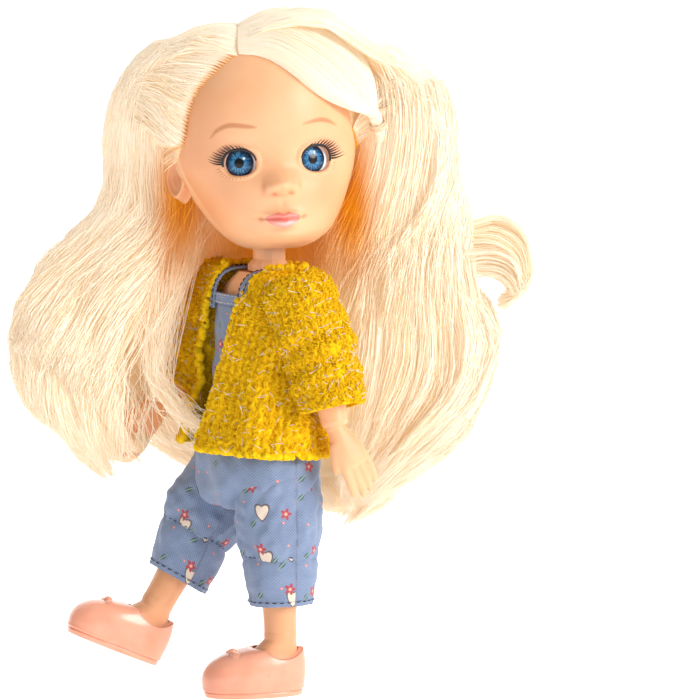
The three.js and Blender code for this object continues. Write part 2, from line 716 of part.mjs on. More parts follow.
function curlForm(growth) {
  const points = curl.map(([x, y, z]) => spot(x, y, z));
  const radii = curl.map(([, , , radius]) => radius + growth);
  return tube(points, radii, radii, hair.lockSides, yAxis);
}

// The elastic: a ring round the lock, square to it
function tieRing(growth) {
  const [from, to] = [lock[0], lock[1]].map(([x, y, z]) => spot(x, y, z));
  const way = to.clone().sub(from);
  const middle = from.clone().addScaledVector(way, hair.tieShare);
  const radius = lock[1][3] + seat + tie.thick;
  const ring = new THREE.TorusGeometry(radius, tie.thick + growth, 6, pegSides);
  ring.applyQuaternion(new THREE.Quaternion().setFromUnitVectors(zAxis, way.normalize()));
  return ring.translate(middle.x, middle.y, middle.z);
}

// Limbs. Each limb hangs down from its upper joint.

// A round limb turned from rows of [drop, radius], with a dome of the first radius on top and one below
function limbForm(rows, closeBottom) {
  const [topDrop, topRadius] = rows[0];
  const [lowDrop, lowRadius] = rows[rows.length - 1];
  const steps = 3;
  const profile = [];
  if (closeBottom) {
    for (let i = 0; i < steps; i += 1) {
      const turn = (Math.PI / 2) * (i / steps);
      profile.push([Math.sin(turn) * lowRadius, -lowDrop - Math.cos(turn) * lowRadius]);
    }
  } else {
    profile.push([0, -lowDrop]);
  }
  [...rows].reverse().forEach(([drop, radius]) => profile.push([radius, -drop]));
  for (let i = 1; i <= steps; i += 1) {
    const turn = (Math.PI / 2) * (i / steps);
    profile.push([Math.cos(turn) * topRadius, -topDrop + Math.sin(turn) * topRadius]);
  }
  profile[profile.length - 1][0] = 0;
  return turnedForm(profile, limbSides);
}

// A peg: a tongue with a pin hole on the hinge, its shaft along +Z, the hinge along Y
function pegForm(hinge, joint, shaftEnd) {
  const half = hinge.tongue / 2;
  const disc = rod(yAxis, -half, half, hinge.radius);
  const reach = joint.ball + seat / 3;
  const stalkHalf = joint.shaft * stalkShare;
  const stalk = block(spot(-stalkHalf, -half, 0), spot(stalkHalf, half, reach));
  const shaft = rod(zAxis, joint.ball + seat / 4, shaftEnd, joint.shaft);
  const joined = [stalk, shaft];
  if (joint.flange) joined.push(rod(zAxis, shaftEnd - joint.flangeThick, shaftEnd, joint.flange));
  return shaped(disc, joined, [rod(yAxis, -half - overrun, half + overrun, hinge.pin + running)]);
}

// The slot that takes a peg's tongue, open towards +Z, and towards -X or +X where the peg swings there
function slotTools(hinge, sideways) {
  const half = hinge.tongue / 2 + running;
  const reach = hinge.radius * 4;
  const radius = hinge.radius + seat;
  const tools = [
    rod(yAxis, -half, half, radius),
    block(spot(sideways > 0 ? -radius : -reach, -half, 0), spot(sideways < 0 ? radius : reach, half, reach)),
  ];
  if (sideways < 0) tools.push(block(spot(-reach, -half, -radius), spot(0, half, overrun)));
  if (sideways > 0) tools.push(block(spot(0, -half, -radius), spot(reach, half, overrun)));
  return tools;
}

function pinForm(axis, hinge, half) {
  return rod(axis, -half, half, hinge.pin, pegSides / 2);
}

// The fork end of an upper limb. The lower limb bends to the front (-1) or to the back (1).
function forkTools(hinge, drop, bend, radius) {
  const half = hinge.tongue / 2 + running;
  const reach = radius * 3;
  const top = hinge.radius + seat;
  const [near, far] = bend < 0 ? [-reach, 0] : [0, reach];
  const bendBlock = [spot(-half, near, 0), spot(half, far, top)];
  return [
    rod(xAxis, -half, half, top),
    block(spot(-half, -reach, -reach), spot(half, reach, seat)),
    block(...bendBlock),
    rod(xAxis, -reach, reach, hinge.pin + running),
  ].map((tool) => tool.translate(0, 0, -drop));
}

// The tongue end of a lower limb, which turns in the fork
function tonguedLimb(form, hinge, bend, radius, cuts) {
  const reach = radius * 3;
  const clear = radius + seat;
  const half = hinge.tongue / 2;
  const bendBlock = bend < 0 ? [spot(-reach, -reach, -clear), spot(reach, 0, reach)]
    : [spot(-reach, 0, -clear), spot(reach, reach, reach)];
  const body = shaped(form, [], [rod(xAxis, -reach, reach, clear, pegSides), block(...bendBlock)]);
  const tongue = rod(xAxis, -half, half, hinge.radius);
  const stalkHalf = hinge.radius * hinge.stalkShare;
  const stalk = block(spot(-half, -stalkHalf, -clear - overrun), spot(half, stalkHalf, 0));
  return shaped(body, [tongue, stalk], [rod(xAxis, -reach, reach, hinge.pin + running), ...cuts]);
}

// Arms

function handForm(side, lean) {
  const palm = loft([
    level(0, 0, -wrist.ball / 2 - hand.palmLength, hand.palmThick * 0.8, hand.palmHalf, hand.sides, 2.6),
    level(0, 0, -wrist.ball / 2 - hand.palmLength * 0.6, hand.palmThick, hand.palmHalf, hand.sides, 2.4),
    level(0, 0, -wrist.ball / 2 - hand.palmLength * 0.2, hand.palmThick, hand.palmHalf * 0.78, hand.sides),
    level(0, 0, -wrist.ball * 0.3, hand.palmThick * 0.9, hand.palmThick, hand.sides),
  ]);
  const knuckles = -wrist.ball / 2 - hand.palmLength;
  const fingers = hand.fingerShares.map((share, i) => {
    const y = (i - 1.5) * hand.fingerSpread;
    const length = hand.longest * share;
    const shares = [-0.3, 0.35, 0.75, 1];
    const points = shares.map((s) => spot(
      -side * hand.curl * Math.max(s, 0) ** 2,
      y * (1 + 0.12 * s),
      knuckles - length * s,
    ));
    const tip = hand.fingerTip;
    const radii = [hand.fingerRadius, hand.fingerRadius, (hand.fingerRadius + tip) / 2, tip * 0.7];
    return tube(points, radii, radii, hand.fingerSides, yAxis);
  });
  const thumbShares = [0, 0.45, 0.8, 1];
  const thumbPoints = thumbShares.map((s) => spot(
    -side * hand.curl * s,
    -hand.palmHalf * 0.5 - hand.thumbLength * 0.42 * s,
    -wrist.ball / 2 - hand.palmLength * 0.3 - hand.thumbLength * 0.9 * s,
  ));
  const thumbRadii = [1.5, 1.3, 1.1].map((share) => hand.fingerRadius * share);
  thumbRadii.push(hand.fingerTip * 0.8);
  const thumb = tube(thumbPoints, thumbRadii, thumbRadii, hand.fingerSides, yAxis);
  const leaning = [palm, ...fingers, thumb].map((piece) => piece.rotateX(degrees(lean)));
  const form = shaped(ball(spot(0, 0, 0), wrist.ball), leaning, slotTools(wrist, 0));
  return shaped(form, [pinForm(yAxis, wrist, wrist.tongue + running)]);
}

function armPieces(word, side) {
  const angles = pose.arms[word];
  const swing = frame(pelvisFrame, `shoulder_swing_${word}`, (side * shoulder.apart) / 2, 0, shoulder.height);
  swing.rotation.x = degrees(angles.swing);
  const upper = frame(swing, `shoulder_raise_${word}`, 0, 0, 0);
  upper.rotation.y = degrees(angles.raise);
  const fore = frame(upper, `elbow_${word}`, 0, 0, -arm.upper);
  fore.rotation.x = degrees(angles.elbow);
  const wristTurn = frame(fore, `wrist_turn_${word}`, 0, 0, -arm.fore);
  const wristFlex = frame(wristTurn, `wrist_flex_${word}`, 0, 0, 0);

  const pegEnd = shoulder.apart / 2 - shoulder.flangeAt;
  const peg = pegForm(shoulderHinge, shoulder, pegEnd).rotateY((-side * Math.PI) / 2);
  place(swing, `shoulder_peg_${word}`, peg, materials.plastic);

  const upperForm = limbForm([[0, shoulder.ball], [arm.upper * 0.35, arm.topRadius * 0.94],
    [arm.upper * 0.8, arm.elbowRadius * 1.04], [arm.upper, arm.elbowRadius]], true);
  const slotted = shaped(upperForm, [], [
    ...slotTools(shoulderHinge, -side),
    ...forkTools(elbow, arm.upper, -1, arm.elbowRadius),
  ]);
  const pinned = shaped(slotted, [pinForm(yAxis, shoulderHinge, shoulderHinge.tongue + running)]);
  place(upper, `upper_arm_${word}`, pinned, materials.plastic);
  place(fore, `elbow_pin_${word}`, pinForm(xAxis, elbow, arm.elbowRadius * pinShare), materials.plastic);

  const foreForm = limbForm([[0, arm.elbowRadius], [arm.fore * 0.4, arm.elbowRadius * 1.02],
    [arm.fore * 0.8, arm.wristRadius * 1.08], [arm.fore, arm.wristRadius]], false);
  const cuts = [
    ball(spot(0, 0, -arm.fore), wrist.ball + seat, limbSides),
    rod(zAxis, -arm.fore, -arm.fore + wrist.shaftEnd + seat, wrist.shaft + running),
  ];
  place(fore, `forearm_${word}`, tonguedLimb(foreForm, elbow, -1, arm.elbowRadius, cuts), materials.skin);
  place(wristTurn, `wrist_peg_${word}`, pegForm(wrist, wrist, wrist.shaftEnd), materials.plastic);
  place(wristFlex, `hand_${word}`, handForm(side, angles.hand), materials.skin);
  return { upper, fore };
}

// Legs

function shoeSkin(inset, low, high, sides) {
  const { heights, fronts, backs, halfWidths } = shoeOutline;
  const levels = [low, ...heights.filter((z) => z > low + inset && z < high), high];
  return loft(levels.map((z) => {
    const front = along(heights, fronts, z) - inset;
    const back = along(heights, backs, z) - inset;
    const half = along(heights, halfWidths, z) - inset;
    const ring = level(0, (back - front) / 2, z - shoe.ankleHeight, half, (back + front) / 2, sides, 2.25);
    return ring.map((p) => {
      const share = (p.y + front) / (back + front);
      return spot(p.x * (1 - shoe.heelTaperShare * share), p.y, p.z);
    });
  }));
}

function shoeForm() {
  const top = shoeOutline.heights[shoeOutline.heights.length - 1];
  const skin = shoeSkin(0, 0, top, shoe.sides);
  const cavity = shoeSkin(shoe.wall, shoe.sole, top + overrun, shoe.sides);
  const reach = shoe.ankleHeight;
  const dip = rod(xAxis, -reach, reach, shoe.dipRadius, shoe.dipSides)
    .translate(0, shoe.dipBack, shoe.dipHeight - shoe.ankleHeight);
  const notchFrom = shoeOutline.backs[0] - shoe.heelLength - shoe.archLength;
  const notch = block(
    spot(-reach, notchFrom, -shoe.ankleHeight - overrun),
    spot(reach, notchFrom + shoe.archLength, -shoe.ankleHeight + shoe.heelHeight / 2),
  );
  const bowHeight = shoe.bowHeight - shoe.ankleHeight;
  const loopRadii = spot(shoe.bowHalf, shoe.bowRadius, shoe.bowRadius * 0.8);
  const loops = [1, -1].map((s) => ellipsoid(spot(0, 0, 0), loopRadii, 8)
    .rotateY(degrees(-s * shoe.bowLean)).translate(s * shoe.bowHalf * 0.8, -shoe.bowFront, bowHeight));
  const knot = ball(spot(0, -shoe.bowFront, bowHeight + shoe.knotRadius / 3), shoe.knotRadius, 8);
  return shaped(skin, [...loops, knot], [cavity, dip, notch]);
}

function footForm(slotAt) {
  const inset = shoe.wall + seat;
  const body = shoeSkin(inset, shoe.sole + seat, shoe.footHeight, shoe.sides);
  const instepLow = shoe.sole + shoe.footHeight / 2 - shoe.ankleHeight;
  const instep = loft([
    level(0, shoe.instepForward, instepLow, ankle.ball, ankle.ball, limbSides),
    level(0, shoe.instepForward / 2, -ankle.ball, ankle.ball * 1.08, ankle.ball * 1.16, limbSides),
    level(0, 0, -ankle.ball / 3, ankle.ball * 0.97, ankle.ball * 0.97, limbSides),
  ]);
  const form = shaped(body, [instep, ball(spot(0, 0, 0), ankle.ball)], []);
  const slot = slotTools(ankle, 0).map((tool) => slotAt(tool.rotateZ(Math.PI / 2)));
  const pin = slotAt(pinForm(xAxis, ankle, ankle.tongue + running));
  return shaped(shaped(form, [], slot), [pin]);
}

function legPieces(word, side) {
  const angles = pose.legs[word];
  const swing = frame(pelvisFrame, `hip_swing_${word}`, (side * hip.apart) / 2, 0, 0);
  swing.rotation.x = degrees(angles.swing);
  const upper = frame(swing, `hip_spread_${word}`, 0, 0, 0);
  upper.rotation.y = degrees(angles.spread);
  const lower = frame(upper, `knee_${word}`, 0, 0, -leg.thigh);
  lower.rotation.x = degrees(angles.knee);
  const ankleTurn = frame(lower, `ankle_turn_${word}`, 0, 0, -leg.shin);
  ankleTurn.rotation.z = degrees(angles.toe);
  const foot = frame(ankleTurn, `ankle_flex_${word}`, 0, 0, 0);
  if (angles.ankle === undefined) {
    ankleTurn.updateWorldMatrix(true, false);
    const flat = new THREE.Quaternion().setFromAxisAngle(zAxis, degrees(angles.toe));
    const carried = ankleTurn.getWorldQuaternion(new THREE.Quaternion());
    foot.quaternion.copy(carried.invert().multiply(flat));
  } else {
    foot.rotation.x = degrees(angles.ankle);
  }

  const pegEnd = hip.apart / 2 - hip.flangeAt;
  const peg = pegForm(hipHinge, hip, pegEnd).rotateY((-side * Math.PI) / 2);
  place(swing, `hip_peg_${word}`, peg, materials.plastic);

  const thighForm = limbForm([[0, hip.ball], [leg.thigh * 0.3, leg.thighRadius * 0.97],
    [leg.thigh * 0.75, leg.kneeRadius * 1.1], [leg.thigh, leg.kneeRadius]], true);
  const slotted = shaped(thighForm, [], [
    ...slotTools(hipHinge, -side),
    ...forkTools(knee, leg.thigh, 1, leg.kneeRadius),
  ]);
  const pinned = shaped(slotted, [pinForm(yAxis, hipHinge, hipHinge.tongue + running)]);
  place(upper, `thigh_${word}`, pinned, materials.plastic);
  place(lower, `knee_pin_${word}`, pinForm(xAxis, knee, leg.kneeRadius * pinShare), materials.plastic);

  const shinForm = limbForm([[0, leg.kneeRadius], [leg.shin * 0.35, leg.calfRadius],
    [leg.shin * 0.8, leg.ankleRadius * 1.03], [leg.shin, leg.ankleRadius]], false);
  const cuts = [
    ball(spot(0, 0, -leg.shin), ankle.ball + seat, limbSides),
    rod(zAxis, -leg.shin, -leg.shin + ankle.shaftEnd + seat, ankle.shaft + running),
  ];
  place(lower, `shin_${word}`, tonguedLimb(shinForm, knee, 1, leg.kneeRadius, cuts), materials.skin);
  const anklePeg = pegForm(ankle, ankle, ankle.shaftEnd).rotateZ(Math.PI / 2);
  place(ankleTurn, `ankle_peg_${word}`, anklePeg, materials.plastic);
  const slotAt = (tool) => inFrame(tool, ankleTurn, foot);
  place(foot, `foot_${word}`, footForm(slotAt), materials.skin);
  place(foot, `shoe_${word}`, shoeForm(), materials.shoe);
  return { upper, lower, foot };
}

const arms = { left: armPieces('left', 1), right: armPieces('right', -1) };
const legs = { left: legPieces('left', 1), right: legPieces('right', -1) };

// Clothes

function outlineSkin({ heights, halfWidths, halfDepths }, growth, stretch, sides) {
  const last = heights.length - 1;
  return loft(heights.map((z, i) => {
    let at = z;
    if (i === 0) at = z - stretch;
    if (i === last) at = z + stretch;
    return level(0, 0, at, halfWidths[i] + growth, halfDepths[i] + growth, sides, 2.2);
  }));
}

// A sleeve or trouser leg round a limb, as rows that go down from its top
function legSkin({ drops, halfWidths, halfDepths }, growth, stretch, shift, hang = 0) {
  const last = drops.length - 1;
  const rings = drops.map((drop, i) => {
    let at = -drop;
    if (i === 0) at += stretch;
    if (i === last) at -= stretch;
    return level(shift, hang * drop, at, halfWidths[i] + growth, halfDepths[i] + growth, limbSides);
  });
  return loft(rings.reverse());
}

function armTool(radius, reach) {
  return shaped(rod(zAxis, -reach, 0, radius), [ball(spot(0, 0, 0), radius)]);
}

// The strip between the legs, from the front hem to the back hem
function romperGusset(growth) {
  const low = romperOutline.heights[0];
  const depth = romperOutline.halfDepths[0] - cloth.romper / 2;
  const steps = 8;
  const points = [];
  for (let i = 0; i <= steps; i += 1) {
    const turn = (Math.PI * i) / steps;
    points.push(spot(0, -Math.cos(turn) * depth, low + cloth.romper - Math.sin(turn) * romper.gussetDrop));
  }
  const widths = points.map(() => romper.gussetHalf + growth);
  const depths = points.map(() => cloth.romper / 2 + growth);
  return tube(points, widths, depths, 6, xAxis);
}

function romperBody() {
  const outer = shaped(outlineSkin(romperOutline, 0, 0, clothSides), [romperGusset(0)]);
  const inner = outlineSkin(romperOutline, -cloth.romper, overrun, clothSides);
  const scoops = [1, -1].map((s) => {
    const middle = spot((s * shoulder.apart) / 2, 0, shoulder.height);
    return ball(middle, romper.armScoop);
  });
  const far = romperOutline.halfDepths[0] + overrun;
  const spare = block(
    spot(-romper.gussetHalf * 2, -far, -far),
    spot(romper.gussetHalf * 2, far, romperOutline.heights[0]),
  );
  const hollow = shaped(inner, [], [spare]);
  return shaped(outer, [], [hollow, ...scoops]);
}

// A strap over the shoulder, from the front of the bodice to its back
function romperStrap(side, growth) {
  const x = (side * romper.strapApart) / 2;
  const top = romperOutline.heights[romperOutline.heights.length - 1];
  const depth = romperOutline.halfDepths[romperOutline.halfDepths.length - 1] - cloth.romper / 2;
  const steps = 6;
  const crown = romper.strapCrown;
  const points = [];
  for (let i = 0; i <= steps; i += 1) {
    const turn = (Math.PI * i) / steps;
    const c = Math.cos(turn);
    const s = Math.sin(turn);
    const y = -Math.sign(c) * Math.abs(c) ** romper.strapSquareShare * depth;
    points.push(spot(x, y, top + seat + s ** romper.strapSquareShare * (crown - top)));
  }
  const widths = points.map(() => romper.strapHalf + growth);
  const depths = points.map(() => romper.strapThick / 2 + growth);
  return tube(points, widths, depths, 6, xAxis);
}

function cardiganBody() {
  const outer = outlineSkin(cardiganOutline, 0, 0, clothSides);
  const inner = outlineSkin(cardiganOutline, -cloth.knit, overrun, clothSides);
  const low = cardiganOutline.heights[0] - overrun;
  const high = cardiganOutline.heights[cardiganOutline.heights.length - 1] + overrun;
  const gap = facePrism([
    [cardigan.gapLow[0], low], [cardigan.gapLow[1], low],
    [cardigan.gapHigh[1], high], [cardigan.gapHigh[0], high],
  ], 0);
  const armholes = [arms.left, arms.right].map(({ upper }) => (
    inFrame(armTool(cardigan.armhole, arm.upper + arm.elbowRadius * 1.5), upper, pelvisFrame)
  ));
  const straps = [1, -1].map((s) => romperStrap(s, seat));
  return shaped(outer, [], [inner, gap, ...armholes, ...straps]);
}

// The skin of a sleeve, which follows the bent arm
function sleeveSkin(bend, growth, stretch) {
  const path = sleeve.drops.map((drop) => {
    const past = Math.max(drop - arm.upper, 0);
    return spot(0, Math.sin(bend) * past, -Math.min(drop, arm.upper) - Math.cos(bend) * past);
  });
  const top = path[0].z;
  path[path.length - 1].z -= stretch;
  path.filter((p) => p.z > 0).forEach((p) => {
    p.z *= 1 + growth / top;
  });
  const radii = sleeve.radii.map((radius) => radius + growth);
  return tube(path, radii, radii, clothSides, yAxis);
}

function sleeveForm(upper, bend) {
  const body = inFrame(outlineSkin(cardiganOutline, seat, seat, clothSides), pelvisFrame, upper);
  return shaped(sleeveSkin(bend, 0, 0), [], [sleeveSkin(bend, -cloth.knit, overrun), body]);
}

const crotchHalf = romper.gussetHalf + seat;
const crotchDepth = romperOutline.halfDepths[0] + seat;
const crotchLow = romperOutline.heights[0] - romper.gussetDrop - seat;
const crotchTool = block(spot(-crotchHalf, -crotchDepth, crotchLow), spot(crotchHalf, crotchDepth, 0));
place(pelvisFrame, 'romper_body', romperBody(), materials.denim);
place(pelvisFrame, 'cardigan_body', cardiganBody(), materials.knit);
[['left', 1], ['right', -1]].forEach(([word, side]) => {
  place(pelvisFrame, `romper_strap_${word}`, romperStrap(side, 0), materials.denim);
  const { upper, lower } = legs[word];
  const shift = side * romper.legShift;
  const hips = inFrame(outlineSkin(romperOutline, seat, seat, clothSides), pelvisFrame, upper);
  const puff = shaped(
    legSkin(romperLeg, 0, 0, shift),
    [],
    [legSkin(romperLeg, -cloth.romper, overrun, shift), hips, inFrame(crotchTool, pelvisFrame, upper)],
  );
  place(upper, `romper_leg_${word}`, puff, materials.denim);
  const { hang } = pose.legs[word];
  const inside = legSkin(romperCuff, -cloth.romper, overrun, shift, hang);
  const cuff = shaped(legSkin(romperCuff, 0, 0, shift, hang), [], [inside]);
  place(lower, `romper_cuff_${word}`, cuff, materials.denim);
  const bend = degrees(pose.arms[word].elbow);
  place(arms[word].upper, `cardigan_sleeve_${word}`, sleeveForm(arms[word].upper, bend), materials.knit);
});

const hairFrame = frame(pelvisFrame, 'hair', 0, neck.back, neck.height);
hairFrame.rotation.z = degrees(pose.hairTurn);
const grownSkull = headSkin(hair.layer + seat, head.coarse, 1, false, hair.nape - seat);
const skullTool = inFrame(grownSkull, headFrame, hairFrame);
const bareHeadTool = inFrame(headSkin(hair.lining, head.coarse, 1, false), headFrame, hairFrame);
const lockTool = inFrame(lockForm(seat), headFrame, hairFrame);
const tieTool = inFrame(tieRing(seat), headFrame, hairFrame);

place(headFrame, 'hair_cap', hairCap(), materials.hair);
place(headFrame, 'hair_fringe', hairFringe(), materials.hair);
place(headFrame, 'hair_lock_left', lockForm(0), materials.hair);
place(headFrame, 'hair_tie', tieRing(0), materials.elastic);
const nearHead = [skullTool, bareHeadTool, lockTool, tieTool];
const nearClothes = [
  inFrame(outlineSkin(cardiganOutline, seat, seat, clothSides), pelvisFrame, hairFrame),
  ...['left', 'right'].map((word) => (
    inFrame(sleeveSkin(degrees(pose.arms[word].elbow), seat, seat), arms[word].upper, hairFrame)
  )),
];
['right', 'left'].forEach((word) => {
  const form = shaped(fall(falls[word], 0), [], [...nearHead, ...nearClothes]);
  place(hairFrame, `hair_fall_${word}`, form, materials.hair);
});
place(hairFrame, 'hair_curl_left', shaped(curlForm(0), [], [fall(falls.left, seat)]), materials.hair);
place(hairFrame, 'hair_fall_back', shaped(
  fall(falls.back, 0),
  [],
  [skullTool, bareHeadTool, ...nearClothes, fall(falls.right, seat), fall(falls.left, seat)],
), materials.hair);

// The origin moves to the middle of the left sole
const soleMiddle = inFrame(
  new THREE.BufferGeometry().setFromPoints([spot(0, -shoe.soleForward, -shoe.ankleHeight)]),
  legs.left.foot,
  doll,
).getAttribute('position');
doll.position.set(-soleMiddle.getX(0), -soleMiddle.getY(0), -soleMiddle.getZ(0));

export default doll;
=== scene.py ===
"""Looks of a small jointed baby doll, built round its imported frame.

Lengths are millimetres in this file. They become metres where a mesh is made.
"""

from __future__ import annotations

import json
import logging
import math
from dataclasses import dataclass, field
from enum import Enum

import bpy
import numpy as np
from mathutils import Matrix, Vector

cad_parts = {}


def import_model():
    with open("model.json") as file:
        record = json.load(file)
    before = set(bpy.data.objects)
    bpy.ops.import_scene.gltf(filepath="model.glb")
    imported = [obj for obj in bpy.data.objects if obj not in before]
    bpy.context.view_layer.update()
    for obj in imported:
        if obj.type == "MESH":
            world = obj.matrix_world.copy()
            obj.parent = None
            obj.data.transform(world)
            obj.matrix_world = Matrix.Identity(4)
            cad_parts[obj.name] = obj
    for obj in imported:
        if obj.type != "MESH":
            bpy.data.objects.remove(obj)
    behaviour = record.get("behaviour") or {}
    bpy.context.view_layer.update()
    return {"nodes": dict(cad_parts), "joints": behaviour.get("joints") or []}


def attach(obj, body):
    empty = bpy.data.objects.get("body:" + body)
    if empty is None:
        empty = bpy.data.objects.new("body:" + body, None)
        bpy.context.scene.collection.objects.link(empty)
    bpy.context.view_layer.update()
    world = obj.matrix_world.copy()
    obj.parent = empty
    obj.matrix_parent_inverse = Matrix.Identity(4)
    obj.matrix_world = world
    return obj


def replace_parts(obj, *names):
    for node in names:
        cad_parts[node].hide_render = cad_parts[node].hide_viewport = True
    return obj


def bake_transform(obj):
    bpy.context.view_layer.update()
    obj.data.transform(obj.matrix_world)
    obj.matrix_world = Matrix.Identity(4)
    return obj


MM = 0.001
LOG = logging.getLogger("doll")
Array = np.ndarray
BOTH = (1, -1)


class Side(Enum):
    """The doll's own left or right, with the sign of its X."""

    LEFT = 1
    RIGHT = -1

    @property
    def word(self) -> str:
        """The side's word in the names of nodes and joints."""
        return self.name.lower()


class Motif(Enum):
    """The small figures of the cloth's print."""

    HEART = "heart"
    LEAF = "leaf"
    BUD = "bud"
    DOT = "dot"


def along(heights: list | Array, values: list | Array, at: float | Array) -> Array:
    """Reads a smooth curve through the values at rising heights.

    Args:
        heights: Rising places of the values.
        values: One number or one row of numbers for each place.
        at: Places to read.

    Returns:
        The values there, with one row for each place where values are rows.
    """
    h, v = np.asarray(heights, float), np.asarray(values, float)
    at = np.clip(np.asarray(at, float), h[0], h[-1])
    gap = np.diff(h) if v.ndim == 1 else np.diff(h)[:, None]
    slope = np.empty_like(v)
    wide = h[2:] - h[:-2] if v.ndim == 1 else (h[2:] - h[:-2])[:, None]
    slope[1:-1] = (v[2:] - v[:-2]) / wide
    slope[0], slope[-1] = (v[1] - v[0]) / gap[0], (v[-1] - v[-2]) / gap[-1]
    k = np.clip(np.searchsorted(h, at, side="right") - 1, 0, len(h) - 2)
    t = (at - h[k]) / (h[k + 1] - h[k])
    g = h[k + 1] - h[k]
    if v.ndim > 1:
        t, g = t[..., None], g[..., None]
    return ((2 * t**3 - 3 * t**2 + 1) * v[k] + (t**3 - 2 * t**2 + t) * g * slope[k]
            + (3 * t**2 - 2 * t**3) * v[k + 1] + (t**3 - t**2) * g * slope[k + 1])


def spline(controls: Array, samples: int) -> Array:
    """Runs a smooth line through each row of control points.

    Args:
        controls: Points as (lines, controls, 3).
        samples: Points wanted on each line.

    Returns:
        Points as (lines, samples, 3).
    """
    count = controls.shape[1]
    ends = 2 * controls[:, [0, -1]] - controls[:, [1, -2]]
    p = np.concatenate([ends[:, :1], controls, ends[:, 1:]], axis=1)
    at = np.linspace(0, count - 1, samples)
    k = np.minimum(at.astype(int), count - 2)
    t = (at - k)[None, :, None]
    a, b, c, d = (p[:, k + i] for i in range(4))
    return 0.5 * (2 * b + (c - a) * t + (2 * a - 5 * b + 4 * c - d) * t**2 + (3 * b - a - 3 * c + d) * t**3)


def ripples(points: Array, size: float, seed: int, waves: int = 12) -> Array:
    """A soft random field made of crossing waves.

    Args:
        points: Places as (..., 3).
        size: Length of one wave.
        seed: Picks the field.
        waves: How many waves cross.

    Returns:
        Values of about -1 to 1 at the places.
    """
    rng = np.random.default_rng(seed)
    ways = rng.normal(size=(waves, 3))
    ways *= (2 * math.pi / size) / np.linalg.norm(ways, axis=1, keepdims=True)
    ways *= rng.uniform(0.7, 1.3, (waves, 1))
    return np.sin(points @ ways.T + rng.uniform(0, 6.28, waves)).sum(-1) / math.sqrt(waves / 2) * 0.6


def bell(offset: Array | float, spread: float) -> Array:
    """A bump of height one that fades over the spread."""
    return np.exp(-((np.asarray(offset) / spread) ** 2))


def bumps(x: Array, z: Array, table: tuple, sides: tuple = (1,)) -> Array:
    """Adds up soft bumps.

    Args:
        x: Places across.
        z: Places up.
        table: Height, place and spread across, and place and spread up of each bump.
        sides: Signs of X on which each bump stands.

    Returns:
        The height at each place.
    """
    return sum(high * bell(x - s * at, wide) * bell(z - up, tall) for s in sides for high, at, wide, up, tall in table)


def unit(v: Array) -> Array:
    """The vectors at length one."""
    return v / np.maximum(np.linalg.norm(v, axis=-1, keepdims=True), 1e-9)


def turned(axis: str, degrees: float) -> Array:
    """A 4 by 4 turn about X, Y or Z."""
    return np.array(Matrix.Rotation(math.radians(degrees), 4, axis))


def shifted(x: float, y: float, z: float) -> Array:
    """A 4 by 4 move."""
    return np.array(Matrix.Translation((x, y, z)))


def placed(points: Array, matrix: Array) -> Array:
    """Points of a local frame, in the row's frame."""
    return points @ matrix[:3, :3].T + matrix[:3, 3]


